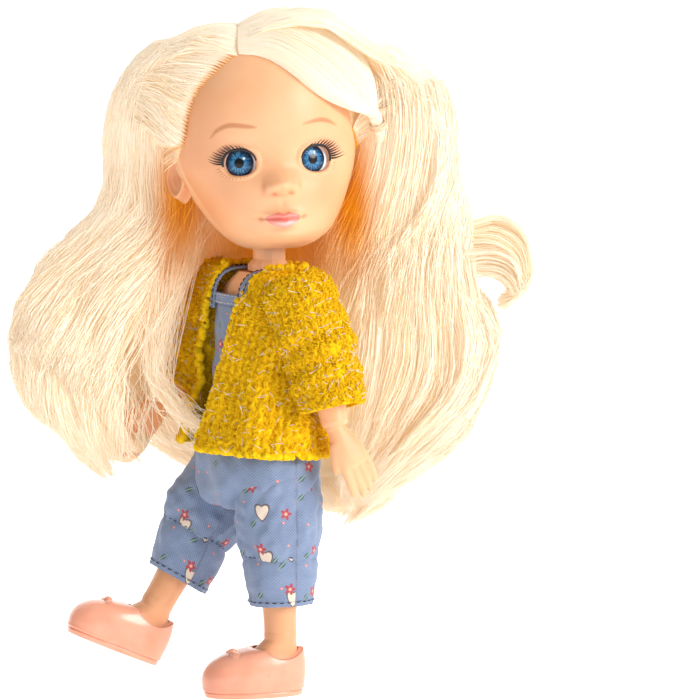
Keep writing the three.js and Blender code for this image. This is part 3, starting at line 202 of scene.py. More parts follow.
@dataclass
class Form:
    """Points, faces and values of a piece before it is a mesh."""

    points: Array
    faces: list[Array]
    values: dict[str, Array] = field(default_factory=dict)

    @staticmethod
    def grid(points: Array, closed: bool = True, values: dict[str, Array] | None = None,
             caps: bool = False) -> "Form":
        """Makes quads between rows of points.

        Args:
            points: Points as (rows, columns, 3).
            closed: Whether the last column meets the first.
            values: Values as (rows, columns) or (rows, columns, 3).
            caps: Whether the first and last row are closed with fans.

        Returns:
            The form.
        """
        rows, columns = points.shape[:2]
        at = np.arange(rows * columns).reshape(rows, columns)
        nxt = np.roll(at, -1, axis=1) if closed else at[:, 1:]
        own = at if closed else at[:, :-1]
        quads = np.stack([own[:-1], nxt[:-1], nxt[1:], own[1:]], -1).reshape(-1, 4)
        faces, flat = [quads], points.reshape(-1, 3)
        made = {k: v.reshape((rows * columns,) + v.shape[2:]) for k, v in (values or {}).items()}
        if caps:
            ends = [points[0].mean(0), points[-1].mean(0)]
            low, high = len(flat), len(flat) + 1
            faces.append(np.stack([np.full(columns, low), np.roll(at[0], -1), at[0]], -1))
            faces.append(np.stack([np.full(columns, high), at[-1], np.roll(at[-1], -1)], -1))
            flat = np.vstack([flat, ends])
            made = {k: np.concatenate([v, v[:1], v[-1:]]) for k, v in made.items()}
        return Form(flat, faces, made)

    def moved(self, matrix: Array) -> "Form":
        """The form, put in the row's frame by a local frame's matrix."""
        return Form(placed(self.points, matrix), self.faces, self.values)

    @staticmethod
    def joined(forms: list["Form"]) -> "Form":
        """Puts several forms with the same values into one.

        Args:
            forms: The forms.

        Returns:
            One form of them all.
        """
        start, faces = 0, []
        for form in forms:
            faces += [f + start for f in form.faces]
            start += len(form.points)
        names = forms[0].values
        return Form(np.vstack([f.points for f in forms]), faces,
                    {k: np.concatenate([f.values[k] for f in forms]) for k in names})

    def piece(self, name: str, material: bpy.types.Material) -> bpy.types.Object:
        """Makes the form an object of the scene.

        Args:
            name: The object's name.
            material: Its finish.

        Returns:
            The object, with the form's values as attributes.
        """
        mesh = bpy.data.meshes.new(name)
        loops = np.concatenate([f.ravel() for f in self.faces]).astype(np.int32)
        sides = np.concatenate([np.full(len(f), f.shape[1]) for f in self.faces])
        starts = np.concatenate([[0], np.cumsum(sides)[:-1]]).astype(np.int32)
        mesh.vertices.add(len(self.points))
        mesh.vertices.foreach_set("co", (self.points * MM).astype(np.float32).ravel())
        mesh.loops.add(len(loops))
        mesh.loops.foreach_set("vertex_index", loops)
        mesh.polygons.add(len(sides))
        mesh.polygons.foreach_set("loop_start", starts)
        mesh.polygons.foreach_set("use_smooth", np.full(len(sides), True))
        for key, value in self.values.items():
            kind, slot = ("FLOAT", "value") if value.ndim == 1 else ("FLOAT_VECTOR", "vector")
            made = mesh.attributes.new(key, kind, "POINT")
            made.data.foreach_set(slot, value.astype(np.float32).ravel())
        mesh.update(calc_edges=True)
        mesh.validate()
        mesh.materials.append(material)
        obj = bpy.data.objects.new(name, mesh)
        bpy.context.scene.collection.objects.link(obj)
        LOG.info("%s: %d faces", name, len(mesh.polygons))
        return obj


def tubes(paths: Array, radii: Array, sides: int = 3, seed: int = 1,
          values: dict[str, Array] | None = None) -> Form:
    """Makes thin tapered tubes, such as fibres.

    Args:
        paths: Centrelines as (tubes, points, 3).
        radii: Radii as (tubes, points).
        sides: Sides of each tube.
        seed: Picks how each tube is turned.
        values: Values as (tubes,) or (tubes, points) for the tube's points.

    Returns:
        All the tubes as one form.
    """
    rng = np.random.default_rng(seed)
    count, steps = paths.shape[:2]
    way = unit(np.gradient(paths, axis=1))
    ref = unit(np.cross(unit(paths[:, -1] - paths[:, 0]), rng.normal(size=(count, 3))))[:, None]
    across = unit(np.cross(way, ref))
    up = np.cross(across, way)
    turn = np.arange(sides) * 2 * math.pi / sides
    ring = (across[:, :, None] * np.cos(turn)[None, None, :, None]
            + up[:, :, None] * np.sin(turn)[None, None, :, None])
    points = paths[:, :, None] + ring * radii[:, :, None, None]
    at = np.arange(count * steps * sides).reshape(count, steps, sides)
    nxt = np.roll(at, -1, axis=2)
    quads = np.stack([at[:, :-1], nxt[:, :-1], nxt[:, 1:], at[:, 1:]], -1).reshape(-1, 4)
    made = {}
    for key, value in (values or {}).items():
        wide = value[:, None, None] if value.ndim == 1 else value[:, :, None]
        made[key] = np.broadcast_to(wide, (count, steps, sides)).reshape(-1)
    return Form(points.reshape(-1, 3), [quads], made)


def oval(x: Array | float, y: Array | float, half_x: Array, half_y: Array, turn: Array,
         square: float = 2.2) -> tuple[Array, Array]:
    """Points of a rounded box's outline.

    Args:
        x: Middle across.
        y: Middle front to back.
        half_x: Half width.
        half_y: Half depth.
        turn: Angles round the outline, in radians.
        square: Two is an ellipse, and more is squarer.

    Returns:
        The places across and front to back.
    """
    c, s = np.cos(turn), np.sin(turn)
    return (x + np.sign(c) * np.abs(c) ** (2 / square) * half_x,
            y + np.sign(s) * np.abs(s) ** (2 / square) * half_y)


class Val:
    """A socket that takes part in sums, which add their Math nodes."""

    def __init__(self, graph: "Graph", socket: bpy.types.NodeSocket) -> None:
        """Keeps the socket and its graph."""
        self.graph, self.socket = graph, socket

    def op(self, operation: str, first: object, second: object = 0.0) -> "Val":
        """Adds one Math node and gives its result."""
        node = self.graph.node("ShaderNodeMath", {"operation": operation}, {0: first, 1: second})
        return Val(self.graph, node.outputs[0])

    def __add__(self, other: object) -> "Val":
        """Self plus other."""
        return self.op("ADD", self, other)

    __radd__ = __add__

    def __sub__(self, other: object) -> "Val":
        """Self minus other."""
        return self.op("SUBTRACT", self, other)

    def __rsub__(self, other: object) -> "Val":
        """Other minus self."""
        return self.op("SUBTRACT", other, self)

    def __mul__(self, other: object) -> "Val":
        """Self times other."""
        return self.op("MULTIPLY", self, other)

    __rmul__ = __mul__

    def __truediv__(self, other: object) -> "Val":
        """Self over other."""
        return self.op("DIVIDE", self, other)

    def wave(self, length: float) -> "Val":
        """A sine of the value with that wavelength, from -1 to 1."""
        return self.op("SINE", self * (2 * math.pi / length))

    def size(self) -> "Val":
        """The value without its sign."""
        return self.op("ABSOLUTE", self)

    def step(self, low: float, high: float) -> "Val":
        """Rises smoothly from zero at low to one at high."""
        node = self.graph.node("ShaderNodeMapRange", {"interpolation_type": "SMOOTHSTEP"},
                               {0: self, 1: low, 2: high, 3: 0.0, 4: 1.0})
        return Val(self.graph, node.outputs[0])


class Graph:
    """The nodes of one material."""

    def __init__(self, name: str) -> None:
        """Starts a material with no nodes.

        Args:
            name: The material's name.
        """
        self.material = bpy.data.materials.new(name)
        self.material.use_nodes = True
        self.tree = self.material.node_tree
        self.tree.nodes.clear()

    def node(self, kind: str, settings: dict | None = None, inputs: dict | None = None) -> bpy.types.Node:
        """Adds a node of any type.

        Args:
            kind: The node's type.
            settings: Its own settings, which are set first.
            inputs: Values, sockets or sums for its sockets.

        Returns:
            The node.
        """
        made = self.tree.nodes.new(kind)
        for key, value in (settings or {}).items():
            setattr(made, key, value)
        for key, value in (inputs or {}).items():
            socket = made.inputs[key]
            source = value.socket if isinstance(value, Val) else value
            if isinstance(source, bpy.types.NodeSocket):
                self.tree.links.new(source, socket)
            elif isinstance(value, tuple) and len(value) == 3 and socket.type == "RGBA":
                socket.default_value = (*value, 1.0)
            else:
                socket.default_value = value
        return made

    def value(self, name: str) -> Val:
        """Reads a number that the mesh holds at its points."""
        return Val(self, self.node("ShaderNodeAttribute", {"attribute_name": name}).outputs["Fac"])

    def vector(self, name: str) -> bpy.types.NodeSocket:
        """Reads a vector that the mesh holds at its points."""
        return self.node("ShaderNodeAttribute", {"attribute_name": name}).outputs["Vector"]

    def parts(self, vector: bpy.types.NodeSocket) -> tuple[Val, Val, Val]:
        """The three numbers of a vector."""
        made = self.node("ShaderNodeSeparateXYZ", {}, {0: vector})
        return tuple(Val(self, made.outputs[i]) for i in range(3))

    def place(self) -> bpy.types.NodeSocket:
        """The surface's own place, in millimetres."""
        made = self.node("ShaderNodeTexCoord").outputs["Object"]
        return self.node("ShaderNodeVectorMath", {"operation": "SCALE"}, {0: made, "Scale": 1 / MM}).outputs[0]

    def noise(self, vector: bpy.types.NodeSocket, size: float, detail: float = 2.0, rough: float = 0.5) -> Val:
        """A cloudy pattern of about the size given, from zero to one."""
        made = self.node("ShaderNodeTexNoise", {}, {"Vector": vector, "Scale": 1 / size, "Detail": detail,
                                                    "Roughness": rough})
        return Val(self, made.outputs["Fac"])

    def stretch(self, vector: bpy.types.NodeSocket, x: float, y: float, z: float) -> bpy.types.NodeSocket:
        """The vector with each of its numbers scaled."""
        return self.node("ShaderNodeVectorMath", {"operation": "MULTIPLY"}, {0: vector, 1: (x, y, z)}).outputs[0]

    def mix(self, factor: object, first: object, second: object) -> bpy.types.NodeSocket:
        """Mixes two colours.

        Args:
            factor: How much of the second.
            first: A colour or a socket.
            second: A colour or a socket.

        Returns:
            The mixed colour.
        """
        made = self.node("ShaderNodeMix", {"data_type": "RGBA", "clamp_factor": True},
                         {0: factor, 6: first, 7: second})
        return made.outputs[2]

    def bump(self, height: Val, distance: float) -> bpy.types.NodeSocket:
        """Turns a height from zero to one into a relief of that many millimetres."""
        inputs = {"Height": height, "Distance": distance * MM, "Strength": 1.0}
        return self.node("ShaderNodeBump", {}, inputs).outputs[0]

    def surface(self, **inputs: object) -> bpy.types.Material:
        """Ends the material with one principled surface.

        Args:
            inputs: Its sockets by name, with _ for a blank.

        Returns:
            The material.
        """
        shader = self.node("ShaderNodeBsdfPrincipled", {}, {k.replace("_", " "): v for k, v in inputs.items()})
        self.node("ShaderNodeOutputMaterial", {}, {0: shader.outputs[0]})
        return self.material


def paint(red: int, green: int, blue: int) -> tuple[float, float, float]:
    """A colour given as screen values from 0 to 255, as linear light."""
    return tuple((c / 255 / 12.92) if c <= 10 else ((c / 255 + 0.055) / 1.055) ** 2.4 for c in (red, green, blue))


@dataclass(frozen=True)
class SkinFinish:
    """Peach vinyl or plastic with a soft sheen and faint mould grain."""

    colour: tuple = paint(246, 188, 142)
    deep: tuple = paint(234, 156, 104)
    roughness: float = 0.42
    grain: float = 0.02
    glow: float = 0.22

    def make(self, name: str) -> bpy.types.Material:
        """Makes the material.

        Args:
            name: The material's name.

        Returns:
            The material.
        """
        g = Graph(name)
        cloud = g.noise(g.place(), 9.0, 3.0)
        fine = g.noise(g.place(), 0.35, 2.0)
        base = g.mix(cloud.step(0.35, 0.8) * 0.35, self.colour, self.deep)
        return g.surface(Base_Color=base, Roughness=self.roughness + (cloud - 0.5) * 0.12,
                         Normal=g.bump(fine, self.grain), Subsurface_Weight=self.glow,
                         Subsurface_Radius=(1.0, 0.4, 0.18), Subsurface_Scale=0.0026,
                         Specular_IOR_Level=0.4, Coat_Weight=0.08, Coat_Roughness=0.35)


@dataclass(frozen=True)
class FaceFinish(SkinFinish):
    """The head's vinyl with its painted lips, brows, eye shadow and cheek tint, and painted shade in its creases, on
    the nose's flank and down the doll's right side, with a painted highlight on the lower lip.
    """

    lip: tuple = paint(242, 136, 124)
    # lip_light is the lower lip's paler pink with a painted highlight at its middle.
    lip_light: tuple = paint(255, 190, 186)
    brow: tuple = paint(198, 122, 74)
    # shade is painted shade for the doll's right side of the face and the nose's flank, mixed with the cheek tint.
    shade: tuple = paint(226, 144, 90)
    # crease is painted shade in the creases, nostrils, lip line, ears and along the eye openings.
    crease: tuple = paint(214, 122, 74)
    lid: tuple = paint(242, 150, 118)

    def make(self, name: str) -> bpy.types.Material:
        """Makes the material.

        Args:
            name: The material's name.

        Returns:
            The material.
        """
        g = Graph(name)
        cloud = g.noise(g.place(), 11.0, 3.0)
        fine = g.noise(g.place(), 0.35, 2.0)
        streak = g.noise(g.place(), 0.25, 1.0)
        base = g.mix(cloud.step(0.35, 0.8) * 0.3, self.colour, self.deep)
        # Cheek tint, with painted shade on the nose's flank and down the doll's right side of the face.
        base = g.mix(g.value("blush") * 0.35, base, self.shade)
        base = g.mix(g.value("shadow") * 0.5, base, self.lid)
        # Painted shade in the creases.
        base = g.mix(g.value("crease"), base, self.crease)
        brow = g.value("brow").step(-0.28, 0.34) * (0.55 + streak * 0.4)
        base = g.mix(brow, base, self.brow)
        lip = g.value("lip").step(-0.06, 0.22)
        # The lower lip's middle turns paler, with a painted highlight.
        tint = g.mix(g.value("gloss").step(0.0, 1.0), self.lip, self.lip_light)
        base = g.mix(lip * 0.92, base, tint)
        return g.surface(Base_Color=base, Roughness=self.roughness - lip * 0.2 + (cloud - 0.5) * 0.1,
                         Normal=g.bump(fine, self.grain), Subsurface_Weight=self.glow,
                         Subsurface_Radius=(1.0, 0.4, 0.18), Subsurface_Scale=0.0026,
                         Specular_IOR_Level=0.4, Coat_Weight=lip * 0.5 + 0.06, Coat_Roughness=0.22)


@dataclass(frozen=True)
class EyeFinish:
    """A printed iris with a painted catchlight, under a clear, glossy dome."""

    iris: float = 3.15
    pupil: float = 1.12
    white: tuple = paint(236, 238, 244)
    ring: tuple = paint(12, 34, 58)
    blue: tuple = paint(18, 82, 132)
    light: tuple = paint(110, 190, 232)

    def make(self, name: str) -> bpy.types.Material:
        """Makes the material; the mesh holds its place from the iris's middle as iris.

        Args:
            name: The material's name.

        Returns:
            The material.
        """
        g = Graph(name)
        x, z, _ = g.parts(g.vector("iris"))
        away = (x * x + z * z).op("SQRT", x * x + z * z)
        turn = x.op("ARCTAN2", z, x)
        both = g.node("ShaderNodeCombineXYZ", {}, {0: turn * 3.2, 1: away * 0.35, 2: 0.0}).outputs[0]
        spokes = g.noise(both, 0.55, 3.0, 0.6)
        near = 1 - (away - self.pupil).size().step(0.0, 1.5)
        iris = g.mix(away.step(1.5, 3.0), self.blue, self.ring)
        iris = g.mix(spokes.step(0.42, 0.72) * near.step(0.0, 0.75) * 0.95, iris, self.light)
        iris = g.mix(spokes.step(0.52, 0.7) * 0.45 * (1 - away.step(2.3, 2.9)), iris, self.light)
        iris = g.mix(away.step(self.iris - 0.5, self.iris - 0.12), iris, paint(14, 26, 42))
        iris = g.mix(1 - away.step(self.pupil - 0.1, self.pupil + 0.08), iris, paint(6, 7, 10))
        base = g.mix(1 - away.step(self.iris - 0.08, self.iris + 0.14), self.white, iris)
        # A painted catchlight in white.
        fleck = g.value("fleck").step(-0.05, 0.12)
        base = g.mix(fleck, base, (1.0, 1.0, 1.0))
        return g.surface(Base_Color=base, Roughness=0.25, Coat_Weight=0.3, Coat_Roughness=0.03,
                         Specular_IOR_Level=0.25)


@dataclass(frozen=True)
class HairFinish:
    """Silky fibre, platinum on top, with painted amber shade where it lies deep and a painted warm glow."""

    pale: tuple = paint(255, 245, 226)
    warm: tuple = paint(250, 222, 176)
    ash: tuple = paint(246, 232, 210)
    # The amber colour is painted shade, for hair that lies deep or in shadow.
    gold: tuple = paint(236, 156, 6)
    # The glow colour is a painted glow that the emission adds.
    glow: tuple = paint(255, 218, 176)
    roughness: float = 0.34

    def make(self, name: str) -> bpy.types.Material:
        """Makes the material; the mesh holds tone, and depth, which is how much painted shade a place takes.

        Args:
            name: The material's name.

        Returns:
            The material.
        """
        g = Graph(name)
        tone, depth = g.value("tone"), g.value("depth")
        base = g.mix(tone.step(0.1, 0.6), self.ash, self.pale)
        base = g.mix(tone.step(0.62, 1.0) * 0.8, base, self.warm)
        # Painted shade: deep places turn amber.
        base = g.mix(depth.step(0.15, 1.0), base, self.gold)
        # The emission is a painted warm glow, amber where the hair lies deep.
        return g.surface(Base_Color=base, Roughness=self.roughness + (tone - 0.5) * 0.2,
                         Emission_Color=g.mix(depth, self.glow, self.gold), Emission_Strength=0.19,
                         Specular_IOR_Level=0.32)


@dataclass(frozen=True)
class UnderHairFinish:
    """The packed fibre under the loose strands, with streaks along it, painted amber shade where it lies deep, and a
    painted glow.
    """

    light: tuple = paint(248, 228, 196)
    dark: tuple = paint(236, 200, 152)
    # The amber colour is painted shade.
    gold: tuple = paint(228, 146, 6)

    def make(self, name: str) -> bpy.types.Material:
        """Makes the material; the mesh holds its place round and down as lie.

        Args:
            name: The material's name.

        Returns:
            The material.
        """
        g = Graph(name)
        lie = g.vector("lie")
        streak = g.noise(g.stretch(lie, 3.2, 0.05, 1.0), 1.0, 3.0, 0.6)
        broad = g.noise(g.stretch(lie, 0.5, 0.03, 1.0), 1.0, 2.0)
        base = g.mix(streak.step(0.3, 0.75), self.dark, self.light)
        base = g.mix(broad.step(0.4, 0.8) * 0.4, base, self.dark)
        # Painted shade: deep places turn amber.
        base = g.mix(g.value("depth") * 0.9, base, self.gold)
        # The emission is a painted glow.
        return g.surface(Base_Color=base, Roughness=0.45, Normal=g.bump(streak, 0.2), Emission_Color=base,
                         Emission_Strength=0.18, Specular_IOR_Level=0.15)


@dataclass(frozen=True)
class LashFinish:
    """Black bristle."""

    def make(self, name: str) -> bpy.types.Material:
        """Makes the material.

        Args:
            name: The material's name.

        Returns:
            The material.
        """
        g = Graph(name)
        cloud = g.noise(g.place(), 0.6)
        return g.surface(Base_Color=g.mix(cloud, paint(18, 14, 15), paint(44, 34, 34)), Roughness=0.5)


@dataclass(frozen=True)
class KnitFinish:
    """Fuzzy mustard yarn; deep loops are darker with painted shade."""

    light: tuple = paint(255, 216, 22)
    colour: tuple = paint(252, 196, 4)
    # The dark colour is painted shade for the knit's deep places.
    dark: tuple = paint(212, 138, 0)

    def make(self, name: str) -> bpy.types.Material:
        """Makes the material; the mesh holds how deep a place lies as deep.

        Args:
            name: The material's name.

        Returns:
            The material.
        """
        g = Graph(name)
        loops = g.noise(g.place(), 0.55, 3.0, 0.7)
        cloud = g.noise(g.place(), 5.0, 2.0)
        deep = g.value("deep")
        base = g.mix(loops.step(0.35, 0.7), self.colour, self.light)
        # Painted shade: deep places turn darker.
        base = g.mix(deep.step(0.25, 0.95) * 0.7, base, self.dark)
        base = g.mix(cloud.step(0.45, 0.8) * 0.25, base, self.colour)
        return g.surface(Base_Color=base, Roughness=0.85, Normal=g.bump(loops, 0.25),
                         Sheen_Weight=0.35, Sheen_Roughness=0.4, Sheen_Tint=(*paint(255, 212, 70), 1.0),
                         Specular_IOR_Level=0.2)


@dataclass(frozen=True)
class LurexFinish:
    """Silvery foil yarn that glints."""

    def make(self, name: str) -> bpy.types.Material:
        """Makes the material.

        Args:
            name: The material's name.

        Returns:
            The material.
        """
        g = Graph(name)
        cloud = g.noise(g.place(), 0.4, 2.0)
        base = g.mix(cloud, paint(240, 240, 242), paint(255, 252, 240))
        return g.surface(Base_Color=base, Roughness=0.25, Metallic=0.15)


@dataclass(frozen=True)
class WovenFinish:
    """Washed blue-grey cotton with a small print of leaves, buds, hearts and dots."""

    warp: tuple = paint(114, 132, 164)
    weft: tuple = paint(144, 158, 184)
    printed: bool = True
    thread: float = 0.32

    def make(self, name: str) -> bpy.types.Material:
        """Makes the material; the mesh holds its flat place in millimetres as cloth.

        Args:
            name: The material's name.

        Returns:
            The material.
        """
        g = Graph(name)
        cloth = g.vector("cloth")
        u, v, _ = g.parts(cloth)
        over = u.wave(self.thread * 2) * v.wave(self.thread * 2)
        slub = g.noise(g.stretch(cloth, 0.9, 4.0, 1.0), 1.0, 2.0)
        base = g.mix(over.step(-0.6, 0.6), self.warp, self.weft)
        base = g.mix(slub.step(0.35, 0.8) * 0.35, base, paint(96, 110, 144))
        base = g.mix(g.noise(cloth, 7.0, 2.0).step(0.4, 0.8) * 0.3, base, paint(158, 172, 200))
        if self.printed:
            base = self.print(g, cloth, base)
        seam = g.value("seam").step(0.2, 0.8)
        base = g.mix(seam * 0.45, base, paint(86, 92, 118))
        return g.surface(Base_Color=base, Roughness=0.82, Normal=g.bump(over * 0.5 + slub * 0.5, 0.05),
                         Sheen_Weight=0.2, Specular_IOR_Level=0.25)

    def print(self, g: Graph, cloth: bpy.types.NodeSocket, base: bpy.types.NodeSocket) -> bpy.types.NodeSocket:
        """Draws the small motifs, one to a cell, over the cloth's colour.

        Args:
            g: The material's nodes.
            cloth: The flat place.
            base: The cloth's colour.

        Returns:
            The printed colour.
        """
        motifs = (
            (15.0, (4.7, 9.1), 3.0, paint(96, 74, 74), paint(232, 214, 196), Motif.HEART),
            (7.4, (2.1, 1.4), 1.75, paint(84, 108, 112), paint(150, 172, 160), Motif.LEAF),
            (8.3, (0.3, 0.7), 1.7, paint(178, 78, 88), paint(238, 176, 150), Motif.BUD),
            (5.2, (5.2, 3.3), 1.1, paint(214, 130, 126), paint(240, 200, 170), Motif.DOT),
        )
        for size, offset, wide, ink, inner, kind in motifs:
            at = g.node("ShaderNodeVectorMath", {"operation": "ADD"},
                        {0: cloth, 1: (offset[0], offset[1], 0.0)}).outputs[0]
            cell = g.node("ShaderNodeTexVoronoi", {"voronoi_dimensions": "2D"},
                          {"Vector": at, "Scale": 1 / size, "Randomness": 0.75})
            local = g.node("ShaderNodeVectorMath", {"operation": "SUBTRACT"},
                           {0: at, 1: cell.outputs["Position"]}).outputs[0]
            x, y, _ = g.parts(local)
            x, y = x / wide, y / wide
            away = (x * x + y * y).op("SQRT", x * x + y * y)
            if kind is Motif.BUD:
                turn = x.op("ARCTAN2", y, x)
                edge = 0.62 + turn.op("COSINE", turn * 5.0) * 0.2 - away
                core = 0.22 - away
            elif kind is Motif.LEAF:
                edge = 0.75 - (x * 0.7 + y * 0.7).size() * 0.85 - (x * 0.7 - y * 0.7).size() * 2.2
                core = 0.07 - (x * 0.7 - y * 0.7).size()
            elif kind is Motif.HEART:
                lean = y - x.size() * 0.75
                edge = 0.6 - (x * x + lean * lean).op("SQRT", x * x + lean * lean)
                core = edge - 0.1
            else:
                edge, core = 0.3 - away, 0.12 - away
            some = Val(g, cell.outputs["Color"]).step(0.35, 0.36)
            base = g.mix(edge.step(-0.06, 0.06) * some, base, ink)
            base = g.mix(core.step(-0.04, 0.04) * edge.step(-0.06, 0.06) * some, base, inner)
        return base


@dataclass(frozen=True)
class ThreadFinish:
    """Sewing thread of one colour."""

    colour: tuple

    def make(self, name: str) -> bpy.types.Material:
        """Makes the material.

        Args:
            name: The material's name.

        Returns:
            The material.
        """
        g = Graph(name)
        ply = g.noise(g.place(), 0.15, 2.0)
        base = g.mix(ply * 0.5, self.colour, tuple(c * 0.55 for c in self.colour))
        return g.surface(Base_Color=base, Roughness=0.7, Normal=g.bump(ply, 0.04))


@dataclass(frozen=True)
class ShoeFinish:
    """Glossy salmon vinyl with soft mould lines, and painted shade in its grooves."""

    colour: tuple = paint(243, 170, 140)
    deep: tuple = paint(226, 132, 100)

    def make(self, name: str) -> bpy.types.Material:
        """Makes the material; the mesh holds its grooves as groove.

        Args:
            name: The material's name.

        Returns:
            The material.
        """
        g = Graph(name)
        cloud = g.noise(g.place(), 6.0, 3.0)
        fine = g.noise(g.place(), 0.5, 2.0)
        base = g.mix(cloud.step(0.35, 0.8) * 0.4, self.colour, self.deep)
        # Painted shade in the grooves.
        base = g.mix(g.value("groove").step(0.1, 0.9) * 0.7, base, self.deep)
        return g.surface(Base_Color=base, Roughness=0.24 + cloud * 0.12, Normal=g.bump(fine, 0.02),
                         Subsurface_Weight=0.1, Subsurface_Radius=(0.8, 0.3, 0.2), Subsurface_Scale=0.0012,
                         Coat_Weight=0.35, Coat_Roughness=0.12)


class Finishes:
    """Every finish of the doll, made once."""

    def __init__(self) -> None:
        """Makes the materials."""
        self.skin = SkinFinish().make("skin")
        self.body = SkinFinish(roughness=0.34, glow=0.05).make("body_plastic")
        self.leg = SkinFinish(colour=paint(236, 172, 126), deep=paint(216, 142, 96), glow=0.05).make("leg_plastic")
        self.face = FaceFinish().make("face")
        self.eye = EyeFinish().make("eye")
        self.hair = HairFinish().make("hair")
        self.under = UnderHairFinish().make("under_hair")
        self.lash = LashFinish().make("lash")
        self.lower_lash = ThreadFinish(paint(196, 122, 78)).make("painted_lash")
        self.knit = KnitFinish().make("knit")
        self.lurex = LurexFinish().make("lurex")
        self.denim = WovenFinish().make("denim")
        self.plain = WovenFinish(printed=False).make("denim_band")
        self.dark_thread = ThreadFinish(paint(52, 50, 66)).make("dark_thread")
        self.light_thread = ThreadFinish(paint(238, 232, 222)).make("light_thread")
        self.shoe = ShoeFinish().make("shoe")
        self.elastic = ThreadFinish(paint(250, 226, 192)).make("elastic")


class Frames:
    """Places of the doll's joints, as matrices in millimetres."""

    neck_height: float = 50.6
    neck_back: float = 1.0
    nod: float = -3.0
    tilt: float = -5.5
    hair_turn: float = 60.0
    flex: float = 7.2

    def __init__(self, joints: list[dict]) -> None:
        """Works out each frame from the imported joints.

        Args:
            joints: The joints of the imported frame.
        """
        self.joints = {j["name"]: j for j in joints}
        up, across = self.axis("neck_turn"), self.axis("shoulder_swing_left")
        deep = np.cross(up, across)
        middle = self.at("neck_turn") - self.neck_height * up - self.neck_back * deep
        self.pelvis = self.matrix(across, deep, up, middle)
        side = self.axis("neck_nod")
        neck = self.matrix(side, np.cross(up, side), up, self.at("neck_turn"))
        self.head = neck @ turned("X", self.nod) @ turned("Y", self.tilt)
        self.hair = self.pelvis @ shifted(0, self.neck_back, self.neck_height) @ turned("Z", self.hair_turn)
        self.upper, self.fore, self.hand = {}, {}, {}
        self.thigh, self.shin, self.foot = {}, {}, {}
        for side in Side:
            w, s = side.word, side.value
            x = -self.axis(f"elbow_{w}")
            y = -s * self.axis(f"shoulder_raise_{w}")
            self.upper[side] = self.matrix(x, y, np.cross(x, y), self.at(f"shoulder_swing_{w}"))
            z = s * self.axis(f"wrist_turn_{w}")
            self.fore[side] = self.matrix(x, np.cross(z, x), z, self.at(f"elbow_{w}"))
            self.hand[side] = self.matrix(x, np.cross(z, x), z, self.at(f"wrist_turn_{w}"))
            x = self.axis(f"knee_{w}")
            y = -s * self.axis(f"hip_spread_{w}")
            self.thigh[side] = self.matrix(x, y, np.cross(x, y), self.at(f"hip_swing_{w}"))
            z = s * self.axis(f"ankle_turn_{w}")
            self.shin[side] = self.matrix(x, np.cross(z, x), z, self.at(f"knee_{w}"))
            x = self.axis(f"ankle_flex_{w}")
            ankle = self.matrix(x, np.cross(z, x), z, self.at(f"ankle_turn_{w}"))
            if side is Side.LEFT:
                x = np.array([x[0], x[1], 0.0])
                x /= np.linalg.norm(x)
                z = np.array([0.0, 0.0, 1.0])
                self.foot[side] = self.matrix(x, np.cross(z, x), z, self.at(f"ankle_turn_{w}"))
            else:
                self.foot[side] = ankle @ turned("X", self.flex)

    def at(self, name: str) -> Array:
        """A joint's place."""
        return np.array(self.joints[name]["pos_m"], float) * 1000

    def axis(self, name: str) -> Array:
        """A joint's axis."""
        v = np.array(self.joints[name]["axis"], float)
        return v / np.linalg.norm(v)

    @staticmethod
    def matrix(x: Array, y: Array, z: Array, origin: Array) -> Array:
        """A matrix of three axes and an origin.

        Args:
            x: The first axis.
            y: The second axis.
            z: The third axis.
            origin: The origin.

        Returns:
            The 4 by 4 matrix.
        """
        m = np.eye(4)
        m[:3, 0], m[:3, 1], m[:3, 2], m[:3, 3] = x, y, z, origin
        return m


